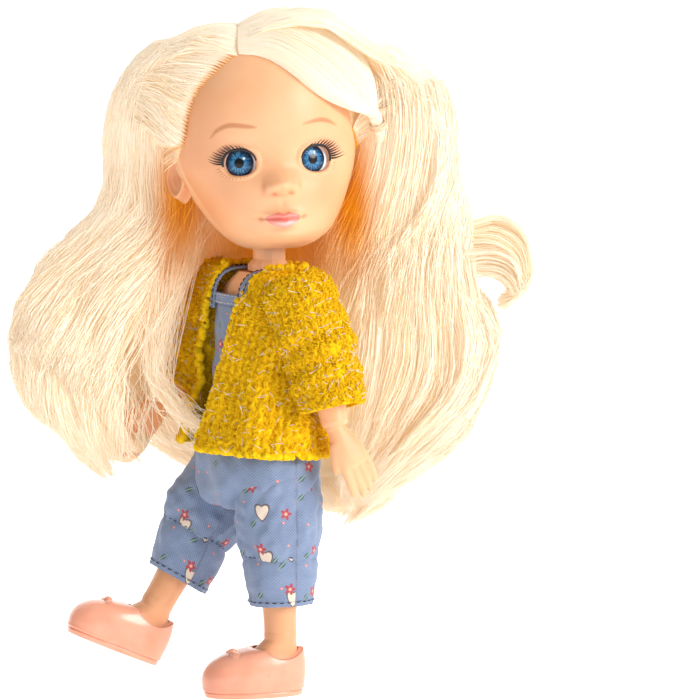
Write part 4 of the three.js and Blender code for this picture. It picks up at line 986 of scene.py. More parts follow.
@dataclass
class Skull:
    """The head's plain outline, which the face and the hair both follow."""

    heights: tuple = (-1.7, -1.1, 0.1, 2.3, 6, 11.8, 17.8, 24.8, 31.8, 38.3, 43.6, 47, 48.8)
    half_widths: tuple = (5.2, 7.2, 9.5, 12.1, 14.8, 17.9, 20.2, 20.6, 20.3, 18.4, 14.6, 9.4, 2)
    fronts: tuple = (6.3, 10.7, 15.5, 18.7, 19.9, 20.5, 20.3, 21.3, 20.9, 18.6, 14.6, 9.2, 1.8)
    backs: tuple = (5.5, 7.5, 10.5, 14, 18, 21.6, 23.4, 24.2, 23.8, 21.4, 17, 10.8, 2.2)
    middle: float = 17.8
    lift: float = 3.0
    sway: float = 1.4

    @property
    def centre(self) -> Array:
        """The place from which directions over the skull start."""
        return np.array([0.0, 0.0, self.middle + self.lift])

    def ring(self, z: Array, turn: Array, growth: Array | float = 0.0) -> Array:
        """Points of the outline at heights and angles, set out by a growth.

        Args:
            z: Heights.
            turn: Angles, where 270 degrees is the face.
            growth: How far out.

        Returns:
            The points, with the shape of z and turn together.
        """
        z, turn = np.broadcast_arrays(np.asarray(z, float), np.asarray(turn, float))
        half = along(self.heights, self.half_widths, z) + growth
        front = along(self.heights, self.fronts, z) + growth
        back = along(self.heights, self.backs, z) + growth
        pole = np.where(z > self.middle, self.heights[-1], self.heights[0])
        share = np.abs((z - self.middle) / (pole - self.middle))
        at = z + growth * share * np.sign(z - self.middle)
        s = np.sin(turn)
        sway = self.sway * np.clip((17 - z) / 15, 0, 1)
        return np.stack([np.cos(turn) * half + sway, s * np.where(s < 0, front, back), at], -1)

    def reach(self, ways: Array, growth: Array | float = 0.0) -> Array:
        """Points of the outline in directions from the head's middle.

        Args:
            ways: Directions as (..., 3).
            growth: How far out of the skin.

        Returns:
            The points.
        """
        ways = unit(ways)
        low, high = np.zeros(ways.shape[:-1]), np.full(ways.shape[:-1], 45.0)
        for _ in range(22):
            mid = (low + high) / 2
            p = self.centre + ways * mid[..., None]
            z = np.clip(p[..., 2], self.heights[0], self.heights[-1])
            half = np.maximum(along(self.heights, self.half_widths, z), 0.5)
            deep = np.where(p[..., 1] < 0, along(self.heights, self.fronts, z), along(self.heights, self.backs, z))
            outside = (p[..., 0] / half) ** 2 + (p[..., 1] / np.maximum(deep, 0.5)) ** 2 > 1
            outside |= (p[..., 2] > self.heights[-1]) | (p[..., 2] < self.heights[0])
            high = np.where(outside, mid, high)
            low = np.where(outside, low, mid)
        return self.centre + ways * (high + growth)[..., None]

    def over(self, start: Array, end: Array, share: float, growth: Array | float) -> Array:
        """A point part of the way over the skull from one place to another.

        Args:
            start: Where the way begins.
            end: Where it leads.
            share: How far along it.
            growth: How far out of the skin.

        Returns:
            The points.
        """
        a, b = unit(start - self.centre), unit(end - self.centre)
        return self.reach(a * (1 - share) + b * share, growth)


@dataclass
class Eye:
    """One inset eye: its opening, dome, lids and lashes."""

    side: Side
    apart: float = 16.9
    height: float = 17.8
    front: float = 17.4
    turn: float = 22.0
    half_width: float = 3.85
    tall: float = 3.05
    low: float = 2.85
    dome: float = 7.2
    dome_half: float = 5.6
    square: float = 2.2
    looks: dict = field(default_factory=lambda: {Side.LEFT: -0.6, Side.RIGHT: -0.15})

    def matrix(self) -> Array:
        """The eye plane's place in the head's frame."""
        s = self.side.value
        return shifted(s * self.apart / 2, -self.front, self.height) @ turned("Z", s * self.turn)

    def local(self, points: Array) -> Array:
        """Points of the head's frame, in the eye plane's frame."""
        return placed(points, np.linalg.inv(self.matrix()))

    def ratio(self, points: Array) -> Array:
        """How far places of the head lie from the opening: one on its edge.

        Args:
            points: Places in the head's frame.

        Returns:
            The ratio at each place.
        """
        p = self.local(points)
        tall = np.where(p[..., 2] > 0, self.tall, self.low)
        u, v = np.abs(p[..., 0] / self.half_width), np.abs(p[..., 2] / tall)
        return (u**self.square + v**self.square) ** (1 / self.square)

    def edge(self, turn: Array, ratio: float = 1.0) -> tuple[Array, Array]:
        """Places on the opening's edge, across and up in the eye plane.

        Args:
            turn: Angles round the opening.
            ratio: How far out they lie: one on the edge.

        Returns:
            The places across and up.
        """
        c, s = np.cos(turn), np.sin(turn)
        tall = np.where(s > 0, self.tall, self.low)
        return (np.sign(c) * np.abs(c) ** (2 / self.square) * self.half_width * ratio,
                np.sign(s) * np.abs(s) ** (2 / self.square) * tall * ratio)

    def ball(self) -> Form:
        """The glossy dome, with its places from the iris's middle.

        Returns:
            The dome, in the eye plane.
        """
        rings, columns = 26, 72
        away = np.linspace(0.0, self.dome_half, rings)[::-1]
        turn = -np.arange(columns) * 2 * math.pi / columns
        x, z = away[:, None] * np.cos(turn), away[:, None] * np.sin(turn)
        y = self.dome - np.sqrt(self.dome**2 - x**2 - z**2)
        iris = np.stack([x - self.looks[self.side], z - 0.02, np.zeros_like(x)], -1)
        # Where the painted catchlight lies: a spot on the right eye, a short upright streak on the left.
        if self.side is Side.RIGHT:
            fleck = 0.32 - np.hypot((iris[..., 0] - 1.15), (iris[..., 1] - 1.0))
        else:
            fleck = 0.2 - np.hypot((iris[..., 0] - 0.5), (iris[..., 1] - 1.5) / 1.6)
        return Form.grid(np.stack([x, y, z], -1), values={"iris": iris, "fleck": fleck})


@dataclass
class Head:
    """The vinyl head with its face, ears, eyes and lashes."""

    frames: Frames
    finishes: Finishes
    skull: Skull = field(default_factory=Skull)
    rows: int = 250
    face_columns: int = 190
    back_columns: int = 44
    lip_line: float = 5.2
    brows: tuple = (
        ((-14.3, 23.6, 0.12), (-12.8, 25.3, 0.42), (-10.4, 26.15, 0.55), (-6.8, 25.7, 0.5), (-4.9, 25.4, 0.2)),
        ((13.9, 24.8, 0.1), (12.2, 25.8, 0.42), (9.7, 26.3, 0.52), (5.7, 25.6, 0.2)))
    forms: tuple = ((2.7, 0, 3.5, 12.7, 2.5), (0.4, 0, 2.2, 12.6, 1.5), (0.4, 0, 3.2, 16.8, 4.0),
                    (1.7, 0, 3.8, 5.2, 2.0), (1.5, 0, 4.2, 0.6, 3.0), (-0.3, 0, 2.8, 2.7, 0.7),
                    (-0.18, 0, 0.6, 8.2, 1.2), (-0.25, 0, 1.8, 10.6, 0.5))
    side_forms: tuple = ((1.2, 11, 5.6, 7.3, 5.6), (-1.1, 8.8, 4.6, 17.8, 4.0), (0.7, 2.7, 1.1, 12.0, 1.1),
                         (-0.25, 4.3, 0.9, 12.2, 1.4), (-0.6, 1.75, 0.7, 10.7, 0.5))
    lips: tuple = ((0.75, 0, 3.0, 0.8, 0.66), (1.0, 0, 2.6, -1.0, 0.8), (-0.75, 0, 4.0, 0, 0.24))
    lip_ends: tuple = ((-0.35, 4.6, 0.6, 0, 0.6),)
    # The crease tables paint shade: beside the nose wings, more on the doll's right, under the nose, under the lower
    # lip, in the nostrils, along the lip line and at the mouth's corners.
    creases: tuple = ((0.5, -3.9, 0.5, 12.2, 1.4), (0.15, 3.9, 0.5, 12.2, 1.2), (0.35, 0, 2.8, 10.3, 0.5),
                      (0.3, 0, 2.4, 2.6, 0.5))
    nostrils: tuple = ((0.55, 1.85, 0.75, 10.7, 0.38),)
    lip_crease: tuple = ((0.7, 0, 3.9, 0, 0.17),)
    lip_end_creases: tuple = ((0.45, 4.7, 0.55, 0, 0.5),)
    # The cheek table is the cheek tint; nose_shade paints shade on the nose's flank on the doll's right.
    cheeks: tuple = ((1.0, 12, 5.5, 9, 5.5),)
    nose_shade: tuple = ((0.45, -3.8, 1.6, 13.2, 3.0),)
    ear_place: tuple = (19.9, 0.2, 15.6)
    ear_turn: float = 52.0
    ear_lean: float = -4.0
    bristles: int = 15

    def __post_init__(self) -> None:
        """Makes the two eyes."""
        self.eyes = {side: Eye(side) for side in Side}

    def rise(self, x: Array, z: Array) -> Array:
        """How far the face stands proud of the plain outline.

        Args:
            x: Places across.
            z: Heights.

        Returns:
            How far forward each place moves.
        """
        up = z - self.mouth(x)
        return (bumps(x, z, self.forms) + bumps(x, z, self.side_forms, BOTH) + bumps(x, up, self.lips)
                + bumps(x, up, self.lip_ends, BOTH))

    def mouth(self, x: Array) -> Array:
        """Height of the line between the lips: a soft bow whose corners rise a little."""
        return self.lip_line - 0.22 * bell(x, 0.9) + 0.3 * np.minimum(np.abs(x) / 5.0, 1.4) ** 2

    def skin(self) -> Form:
        """The head's outer skin, open at the eyes and the neck, with its painted places.

        Returns:
            The skin, in the head's frame.
        """
        face = np.linspace(0, 1, self.face_columns)
        turn = math.pi * np.concatenate([1 + face * 0.86 + 0.07, np.linspace(1.97, 3.03, self.back_columns)])
        levels = np.concatenate([np.linspace(self.skull.heights[0], 0, 16)[:-1], np.linspace(0, 24, 165)[:-1],
                                 np.linspace(24, 48.8, self.rows - 180)])
        z, t = np.meshgrid(levels, turn, indexing="ij")
        points = self.skull.ring(z, t)
        front = np.maximum(-np.sin(t), 0)
        points[..., 1] -= self.rise(points[..., 0], z) * front**0.5
        for eye in self.eyes.values():
            ratio, p = eye.ratio(points), eye.local(points)
            near = (points[..., 1] < -8) & (ratio < 3)
            swell = 0.34 * bell(ratio - 1.14, 0.13) - 0.16 * bell(ratio - 1.42, 0.1) * (p[..., 2] > 0)
            points[..., 1] -= np.where(near, swell, 0)
        form = Form.grid(points)
        for eye in self.eyes.values():
            form = self.opened(form, eye)
        form.values = self.painted(form.points)
        return form

    def opened(self, form: Form, eye: Eye) -> Form:
        """Cuts an eye's opening and turns its edge in as lids.

        Args:
            form: The head's skin as it is.
            eye: The eye.

        Returns:
            The skin with the opening.
        """
        points = form.points
        ratio = np.where(points[:, 1] < -6, eye.ratio(points), 9.0)
        quads = [f for f in form.faces if f.shape[1] == 4][0]
        rest = [f for f in form.faces if f.shape[1] == 3]
        touched = (ratio[quads] < 1).any(1)
        cut = quads[touched]
        triangles = np.vstack([cut[:, [0, 1, 2]], cut[:, [0, 2, 3]]])
        made, shared, kept = list(points), {}, []

        def crossing(a: int, b: int) -> int:
            """The point where an edge meets the opening, shared by its two faces.

            Args:
                a: The edge's point inside the opening.
                b: Its point outside.

            Returns:
                The number of the new point.
            """
            key = (min(a, b), max(a, b))
            if key not in shared:
                low, high = points[a], points[b]
                for _ in range(14):
                    mid = (low + high) / 2
                    low, high = (mid, high) if eye.ratio(mid) < 1 else (low, mid)
                shared[key] = len(made)
                made.append((low + high) / 2)
            return shared[key]

        for tri in triangles:
            inside = ratio[tri] < 1
            if inside.all():
                continue
            if not inside.any():
                kept.append(tri)
                continue
            ring = []
            for i in range(3):
                a, b = tri[i], tri[(i + 1) % 3]
                if not inside[i]:
                    ring.append(a)
                if inside[i] != inside[(i + 1) % 3]:
                    ring.append(crossing(a, b) if inside[i] else crossing(b, a))
            kept += [(ring[0], ring[i], ring[i + 1]) for i in range(1, len(ring) - 1)]
        points = np.array(made)
        rim = np.array(sorted(shared.values()))
        flat = eye.local(points[rim])
        rim = rim[np.argsort(np.arctan2(flat[:, 2], flat[:, 0]))]
        lids = [rim]
        start = len(points)
        base = eye.local(points[rim])
        for inward, deep in ((0.0, 0.12), (0.03, 0.3), (0.04, 0.7), (0.03, 1.6), (0.0, 3.0)):
            ring = base.copy()
            ring[:, 0] *= 1 - inward
            ring[:, 2] *= 1 - inward
            ring[:, 1] += deep
            made_ring = placed(ring, eye.matrix())
            points = np.vstack([points, made_ring])
            lids.append(np.arange(start, start + len(rim)))
            start += len(rim)
        sheets = [np.stack([a, np.roll(a, -1), np.roll(b, -1), b], -1) for a, b in zip(lids, lids[1:])]
        triangles = np.array(kept)
        return Form(points, [np.vstack([quads[~touched]] + sheets)] + [np.vstack(rest + [triangles])])

    def painted(self, points: Array) -> dict[str, Array]:
        """Values for the paint: lips with a painted highlight on the lower lip, brows, cheek tint mixed with painted
        shade, eye shadow, and painted shade in the creases.

        Args:
            points: Places in the head's frame.

        Returns:
            The values by name.
        """
        x, y, z = points.T
        ahead = y < -5
        line = self.mouth(x)
        a = np.abs(x)
        top = line + 1.35 * np.sqrt(np.clip(1 - (a / 4.2) ** 2, 0, 1)) + 0.35 * bell(a - 1.1, 0.6)
        bottom = line - 2.0 * np.sqrt(np.clip(1 - (a / 3.8) ** 2, 0, 1))
        lip = np.where(ahead & (a < 4.4), np.minimum(top - z, z - bottom) - 0.04 * a, -1)
        # The lower lip's middle: paler pink with a painted highlight.
        gloss = bell(z - line + 1.2, 0.75) * bell(x - 0.3, 2.6)
        # Painted shade in the creases, nostrils, lip line and mouth's corners.
        crease = bumps(x, z, self.creases) + bumps(x, z, self.nostrils, BOTH)
        crease += bumps(x, z - line, self.lip_crease) + bumps(x, z - line, self.lip_end_creases, BOTH)
        crease = np.clip(np.where(ahead, crease, 0), 0, 1)
        # Cheek tint, with painted shade on the nose's flank and over the doll's right side of the face.
        blush = bumps(x, z, self.cheeks, BOTH) + bumps(x, z, self.nose_shade)
        blush += 1.7 * np.clip((-x - 9.0) / 9.0, 0, 1) ** 1.3
        brow = np.full(len(points), -2.0)
        for arc in (np.array(brow_line) for brow_line in self.brows):
            fine = along(np.arange(len(arc)), arc, np.linspace(0, len(arc) - 1, 60))
            away = np.hypot(x[:, None] - fine[:, 0], z[:, None] - fine[:, 1])
            k = away.argmin(1)
            brow = np.maximum(brow, np.where(ahead, fine[k, 2] - away[np.arange(len(x)), k], -2))
        shadow = np.zeros(len(points))
        for eye in self.eyes.values():
            ratio, p = eye.ratio(points), eye.local(points)
            outer = np.clip(0.55 + 0.45 * p[:, 0] / 4 * eye.side.value, 0, 1)
            upper = np.clip(p[:, 2] / 2 + 0.35, 0, 1)
            near = ahead & (ratio < 3)
            shadow += np.where(near, bell(ratio - 1.1, 0.42) * outer * upper, 0)
            # Painted shade along the edge of each eye's opening.
            crease += np.where(near, 0.4 * bell(ratio - 1.0, 0.05), 0)
        return {"lip": lip, "gloss": gloss, "crease": np.clip(crease, 0, 1), "blush": np.where(ahead, blush, 0),
                "brow": brow, "shadow": np.clip(shadow, 0, 1)}

    def ear(self, side: Side) -> Form:
        """A flared ear with its rim, hollow and lobe.

        Args:
            side: The ear's side.

        Returns:
            The ear, in the head's frame.
        """
        s = side.value
        r, turn = np.meshgrid(np.linspace(0, 1.18, 30), np.linspace(0, 2 * math.pi, 60, endpoint=False), indexing="ij")
        lobe = 1 - 0.16 * np.clip(-np.sin(turn), 0, 1)
        a, b = r * np.cos(turn) * 3.0 * lobe, r * np.sin(turn) * 5.0
        height = 0.95 * bell(r - 0.86, 0.14) - 0.7 * bell(r, 0.5) + 0.35 * bell(np.hypot(a + 1.6, b + 0.6), 0.9)
        height += 0.3 * bell(r - 0.55, 0.1) * np.clip(np.cos(turn), 0, 1)
        height -= np.clip(r - 0.95, 0, 1) * 9.0
        local = np.stack([a * s, -height, b], -1)
        out, back, up = self.ear_place
        place = shifted(s * out, back, up) @ turned("Z", s * self.ear_turn) @ turned("X", self.ear_lean)
        form = Form.grid(placed(local[:, ::-s], place))
        zero = np.zeros(len(form.points))
        # Painted shade in the ear's hollow and along its outer edge, and a little of the face's tint and shade colour
        # over the whole ear.
        hollow = (0.55 * bell(r, 0.55) + 0.3 * bell(r - 1.05, 0.12)).reshape(-1)
        form.values = {"lip": zero - 1, "gloss": zero, "crease": hollow, "blush": zero + 0.4, "brow": zero - 2,
                       "shadow": zero}
        return form

    def lashes(self, eye: Eye) -> Form:
        """The upper lash line with its fan of bristles.

        Args:
            eye: The eye.

        Returns:
            The lashes, in the head's frame.
        """
        s = eye.side.value
        rng = np.random.default_rng(40 + s)
        count = self.bristles
        share = np.linspace(0.0, 0.8, count) ** 1.15 + rng.normal(0, 0.004, count)
        turn = share * math.pi if s > 0 else math.pi - share * math.pi
        x, z = eye.edge(turn, 1.01)
        outer = 1 - share
        length = 0.45 + 2.7 * outer**2.2 + 0.4 * np.sin(share * math.pi) + rng.normal(0, 0.14, count)
        lean = (0.15 + 1.9 * outer) * s + rng.normal(0, 0.05, count)
        way = unit(np.stack([lean, -0.5 - 0.3 * outer, -0.1 + 0.75 * np.sin(share * math.pi)], -1))
        root = np.stack([x, np.full(count, -0.85), z], -1)
        root[:, 1] = self.lid_front(eye, x, z) - 0.02
        steps = np.linspace(0, 1, 7)
        paths = root[:, None] + way[:, None] * (length[:, None] * steps)[..., None]
        paths[..., 2] += (length[:, None] * steps**2) * 0.3
        radii = 0.18 * (1 - steps**1.6)[None] + 0.025 + np.zeros((count, 1))
        fan = tubes(paths, radii, 4, 3)
        band_turn = np.linspace(-0.06, 0.97, 50) * math.pi
        if s < 0:
            band_turn = math.pi - band_turn
        bx, bz = eye.edge(band_turn, 0.995)
        line = np.stack([bx, self.lid_front(eye, bx, bz) - 0.04, bz], -1)
        thick = 0.1 + 0.24 * np.sin(np.linspace(0.15, 1, 50) * math.pi * 0.9) ** 0.7
        band = tubes(line[None], thick[None], 8, 4)
        return Form.joined([fan, band]).moved(eye.matrix())

    def lid_front(self, eye: Eye, x: Array, z: Array) -> Array:
        """Where the skin lies, front to back in the eye plane, at places on the opening's edge.

        Args:
            eye: The eye.
            x: Places across.
            z: Places up.

        Returns:
            The skin's place front to back.
        """
        out = []
        for px, pz in zip(x, z):
            low, high = -6.0, 6.0
            for _ in range(24):
                mid = (low + high) / 2
                p = placed(np.array([px, mid, pz]), eye.matrix())
                half = along(self.skull.heights, self.skull.half_widths, p[2])
                deep = along(self.skull.heights, self.skull.fronts, p[2])
                c = np.clip(p[0] / half, -1, 1)
                s = math.sqrt(max(1 - c * c, 1e-6))
                surface = -deep * s - (self.rise(p[0], p[2]) + 0.12) * s**0.5
                low, high = (low, mid) if p[1] > surface else (mid, high)
            out.append((low + high) / 2)
        return np.array(out)

    def lower_lashes(self, eye: Eye) -> Form:
        """Fine painted strokes under the outer lower lid.

        Args:
            eye: The eye.

        Returns:
            The strokes, in the head's frame.
        """
        s = eye.side.value
        count = 11
        share = np.linspace(0.08, 0.62, count)
        turn = -share * math.pi if s > 0 else math.pi + share * math.pi
        x, z = eye.edge(turn, 1.08)
        ox, oz = eye.edge(turn, 1.08 + 0.3 * (1 - share) + 0.08)
        ox = ox + s * 0.35 * (1 - share)
        start = np.stack([x, self.lid_front(eye, x, z) - 0.03, z], -1)
        end = np.stack([ox, self.lid_front(eye, ox, oz) - 0.03, oz], -1)
        steps = np.linspace(0, 1, 5)[None, :, None]
        paths = start[:, None] * (1 - steps) + end[:, None] * steps
        radii = 0.07 * (1 - steps[..., 0] ** 1.5) + 0.012 + np.zeros((count, 1))
        return tubes(paths, radii, 4, 5).moved(eye.matrix())

    def build(self) -> None:
        """Makes the head's pieces and sets them on the head."""
        skin = self.skin()
        ears = [self.ear(side) for side in Side]
        head = Form.joined([skin, *ears]).moved(self.frames.head)
        shell = head.piece("head_skin", self.finishes.face)
        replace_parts(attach(shell, "head"), "head_shell")
        for side, eye in self.eyes.items():
            ball = eye.ball().moved(self.frames.head @ eye.matrix()).piece(f"eye_dome_{side.word}", self.finishes.eye)
            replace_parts(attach(ball, "head"), f"eye_{side.word}")
            lash = self.lashes(eye).moved(self.frames.head).piece(f"lash_fan_{side.word}", self.finishes.lash)
            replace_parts(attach(lash, "head"), f"lashes_{side.word}")
            low = self.lower_lashes(eye).moved(self.frames.head)
            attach(low.piece(f"lash_paint_{side.word}", self.finishes.lower_lash), "head")


@dataclass
class Fall:
    """One hanging mass of hair: rows of across, back, height, half width and half depth."""

    rows: tuple
    square: float = 2.1
    short: float = 1.4

    def ring(self, at: Array, turn: Array, share: Array | float = 1.0) -> Array:
        """Points of the fall, in the hair's frame.

        Args:
            at: Places down the rows, from zero.
            turn: Angles round the fall.
            share: How far out from its middle.

        Returns:
            The points.
        """
        at, turn, share = np.broadcast_arrays(at, turn, share)
        row = along(np.arange(len(self.rows)), np.array(self.rows, float), at.reshape(-1)).reshape(at.shape + (5,))
        x, y = oval(row[..., 0], row[..., 1], np.maximum(row[..., 3], 1.0) * share,
                    np.maximum(row[..., 4], 1.0) * share, turn, self.square)
        return np.stack([x, y, row[..., 2]], -1)

    def core(self, scale: float, start: float) -> Form:
        """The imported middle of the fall, fluted like combed locks.

        Args:
            scale: Its share of the fall's width.
            start: Where down the rows it begins.

        Returns:
            The core, in the hair's frame.
        """
        steps = np.linspace(start, len(self.rows) - self.short, 70)
        turn = np.arange(96) * 2 * math.pi / 96
        at, t = np.meshgrid(steps, turn, indexing="ij")
        flute = 1 + 0.03 * np.sin(t * 9 + at * 0.9) + 0.02 * np.sin(t * 17 - at * 1.7)
        end = np.sqrt(np.clip((steps[-1] - at) / 0.8, 0.02, 1))
        points = self.ring(at, t, scale * flute * end)
        row = along(np.arange(len(self.rows)), np.array(self.rows, float), steps)
        lie = np.stack([t * row[:, 3:4], -points[..., 2], np.zeros_like(t)], -1)
        # Painted amber shade, as on the strands.
        depth = golden(points)
        return Form.grid(points[::-1], values={"lie": lie[::-1], "depth": depth[::-1]}, caps=True)


def golden(points: Array) -> Array:
    """How much painted amber shade the hair takes: most beside and under the face.

    Args:
        points: Places in the hair's frame.

    Returns:
        A value from 0 to 1 at each place.
    """
    x, y, z = points[..., 0], points[..., 1], points[..., 2]
    beside = bell(np.abs(x + 1) - 19, 7.0) * bell(z - 9, 19.0)
    under = bell(x, 20.0) * bell(z + 2, 13.0)
    inside = np.clip((y + 9) / 9, 0, 1) * np.clip((25 - y) / 4, 0, 1)
    return np.clip(np.maximum(beside, under) * inside, 0, 1)


@dataclass(frozen=True)
class Wave:
    """How strands wave: swing and length of a wave, where along the strand it begins, and how many broad locks."""

    swing: float
    length: float
    start: float
    locks: int


@dataclass(frozen=True)
class SideHair:
    """What the hair of one side has of its own.

    A turn is the first angle round the fall in degrees, the sweep from first to last strand and the spread, and
    that of the plugs also names the plug at the first angle. An over is how far along the way to the fall, and
    how high over the skin, each guide lies.
    """

    fall: Fall
    hairline: tuple
    seed: int
    parted: tuple
    top_turn: tuple
    top_over: tuple
    plug_from: float
    plug_turn: tuple
    plug_over: tuple


@dataclass
class Hair:
    """Rooted platinum hair: parting, plugs, swept fringe with its tie, side falls, curl and back."""

    frames: Frames
    finishes: Finishes
    skull: Skull = field(default_factory=Skull)
    sides: dict = field(default_factory=lambda: {
        Side.RIGHT: SideHair(
            fall=Fall((
                (-19, 1, 46, 8, 8), (-23.5, 2.5, 37.5, 9.5, 10.5), (-27.5, 6.5, 25.5, 10.8, 10),
                (-26.5, 10, 12, 10.6, 9), (-28, 9.5, 0.5, 13.8, 9.5), (-36, 6.5, -12.7, 17.2, 9.5),
                (-38.8, 6, -26, 17.2, 9), (-38.8, 6.5, -37.4, 15, 8.5), (-33.5, 9, -48.5, 10.5, 7),
                (-29, 12, -55, 5, 4))),
            hairline=((-7.3, -14.8, 41.3), (-12.2, -14.2, 37.6), (-15.7, -12.2, 34), (-17.6, -10.6, 29.2),
                      (-18.9, -8.1, 23), (-20.2, -3.5, 21.8), (-20.6, 1.5, 21.5), (-20, 6, 16), (-18, 10, 8)),
            seed=11, parted=(0.0, 0.95), top_turn=(262, -165, 0.25),
            top_over=((0.22, 1.5), (0.48, 3.0), (0.74, 4.6)),
            plug_from=0.0, plug_turn=(228, 150, 0.22, 0.35), plug_over=((0.14, 1.1), (0.45, 3.2))),
        Side.LEFT: SideHair(
            fall=Fall((
                (16.5, 3, 46.6, 8, 8), (27, 4, 37.8, 9.6, 9.5), (29.5, 5, 24.8, 11.2, 10), (28.8, 7, 11.8, 12.8, 10),
                (28, 10, 0.8, 15.8, 9.5), (31.5, 12, -11.2, 18.6, 9), (34, 13.5, -24.2, 19.6, 8.5),
                (33, 15, -38.2, 15.5, 8), (29, 17, -50.2, 10, 6.5), (24.5, 19, -61, 4, 3.5))),
            hairline=((14, -15.6, 29.5), (17.3, -12.4, 26.4), (19.3, -8.7, 23.4), (20, -4.5, 20), (20.3, 1, 20),
                      (20, 6, 14), (18, 11, 7)),
            seed=12, parted=(0.12, 0.97), top_turn=(-88, 175, 0.28),
            top_over=((0.22, 2.2), (0.48, 5.6), (0.74, 6.8)),
            plug_from=0.3, plug_turn=(268, -150, 0.25, 0.25), plug_over=((0.16, 0.5), (0.45, 1.6)))})
    back: Fall = field(default_factory=lambda: Fall((
        (0, 21, 12, 21, 7), (0, 22, 2, 26, 8), (0, 24, -12, 34, 8), (-1, 25, -26, 38, 8), (-1, 25.5, -40, 36, 7),
        (7, 26, -52, 27, 6), (18, 27, -60, 13, 5), (15.5, 27.5, -67, 4, 2.5))))
    lock: tuple = ((23.4, -11.4, 26.6, 1.9), (24.8, -9.4, 23.2, 1.8), (26.6, -5.2, 18.4, 2.3), (27.2, 0, 12.4, 2.9),
                   (29, 4, 5, 2.8), (32, 8, -4, 2.2), (35, 10, -13, 1.4))
    tie_radius: float = 1.75
    tie_thick: float = 0.26
    tie_turns: float = 3.2
    parting: tuple = ((-7.3, -14.8, 41.3), (-5.8, -10.6, 45.6), (-3.8, -3.5, 48.6), (-2, 5, 48.6), (0, 13, 45.5),
                      (1, 19, 40))
    waves: dict = field(default_factory=lambda: {
        "top": Wave(3.0, 42, 0.22, 6), "plugs": Wave(2.2, 36, 0.28, 7), "inner": Wave(2.6, 40, 0.25, 6),
        "back": Wave(2.8, 40, 0.25, 7), "nape": Wave(2.0, 32, 0.15, 8), "fringe": Wave(0.8, 20, 0.62, 5),
        "curl": Wave(0.7, 24, 0.2, 6)})
    width: float = 0.115
    stray_width: float = 0.07
    most: int = 185000
    top_count: int = 2900
    plug_count: int = 1900
    plugs: int = 66
    inner_count: int = 1450
    back_count: int = 2900
    nape_count: int = 2900
    fringe_count: int = 1900
    curl_count: int = 1350
    stray_count: int = 170
    samples: int = 22
    ends: float = 1.1
    fringe_guides: tuple = (
        ((-6.8, -15.2, 41.6), (-2.3, -17.3, 41), (1.5, -18.6, 38.9), (5.1, -19.7, 35.9), (9.6, -19.4, 32.2),
         (14, -17.6, 29.6), (19.2, -14.8, 27.4)),
        ((-6.2, -11.5, 45.4), (0.8, -13.9, 45.9), (6.4, -16.8, 42.9), (12.8, -17.6, 37.9), (17, -16.6, 33.4),
         (20.2, -14.8, 30), (22.2, -12.8, 28)),
        ((-4.4, -3.5, 48.9), (2, -4, 51), (9, -4.6, 50.2), (14.4, -5.6, 47.4), (19.2, -6.8, 43), (22.8, -9, 36.6),
         (24, -10.8, 30.4)))
    curl_guides: tuple = (
        ((22, 2, 26), (27, 4, 16), (33, 6, 9), (41, 8, 5.6), (47, 9, 6.2), (52, 9.5, 7), (57, 10, 4), (59.6, 10.5, -2),
         (59, 11, -7), (56.5, 11, -9.5)),
        ((21, 2, 17), (25, 4, 6), (31, 6, -2), (38, 8, -5.6), (44, 9, -6.5), (49, 9.5, -6.5), (53, 10, -7.5),
         (55, 10.5, -9.5), (55, 11, -11.5), (53, 11, -12.6)))

    def head_line(self, places: tuple, share: Array) -> Array:
        """Points along a line of places on the head."""
        return along(np.arange(len(places)), np.array(places, float), share * (len(places) - 1))

    def to_head(self, points: Array) -> Array:
        """Points of the hair's frame, in the head's frame."""
        return placed(points, np.linalg.inv(self.frames.head) @ self.frames.hair)

    def rooted(self, places: Array, growth: float = 0.1) -> Array:
        """Places near the scalp, moved on to it."""
        return self.skull.reach(places - self.skull.centre, growth)

    def waved(self, paths: Array, rng: np.random.Generator, turn: Array, mass: str) -> Array:
        """Adds soft waves that neighbours share, finer ones of small locks, and a little frizz.

        Args:
            paths: Strands as (n, points, 3).
            rng: The random source.
            turn: Each strand's angle in its mass, which tells its neighbours.
            mass: The name of the mass in the waves.

        Returns:
            The waved strands.
        """
        wave = self.waves[mass]
        step = np.linalg.norm(np.diff(paths, axis=1), axis=2)
        far = np.concatenate([np.zeros((len(paths), 1)), np.cumsum(step, 1)], 1)
        share = far / np.maximum(far[:, -1:], 1e-6)
        way = unit(np.gradient(paths, axis=1))
        side = unit(np.cross(way, np.array([0.0, 0.0, 1.0]) + 1e-3 * way))
        out = np.cross(side, way)
        t = np.mod(turn, 2 * math.pi)[:, None]
        made = paths.copy()
        for count, swing, run in ((wave.locks, wave.swing, wave.length),
                                  (wave.locks * 3, wave.swing * 0.24, wave.length * 0.55)):
            phase = np.interp(t, np.linspace(0, 2 * math.pi, count + 1), rng.uniform(0, 5.0, count + 1))
            rise = np.clip((share - wave.start) / 0.3, 0, 1) ** 1.4
            angle = far * (2 * math.pi / run) + phase + rng.normal(0, 0.1, (len(paths), 1))
            made += side * (swing * rise * np.sin(angle))[..., None]
            made += out * (swing * 0.7 * rise * np.cos(angle))[..., None]
        frizz = rng.normal(0, 0.09, (len(paths), 1)) * np.sin(far / 6.0 + rng.uniform(0, 6.28, (len(paths), 1))) * share
        return made + side * frizz[..., None]

    @staticmethod
    def over_hand(points: Array) -> Array:
        """Whether places of the hair's frame lie in front of the right forearm and hand."""
        x, y, z = points[..., 0], points[..., 1], points[..., 2]
        return (x > -31) & (x < 0) & (y < 11) & (z < -26) & (z > -43.5)

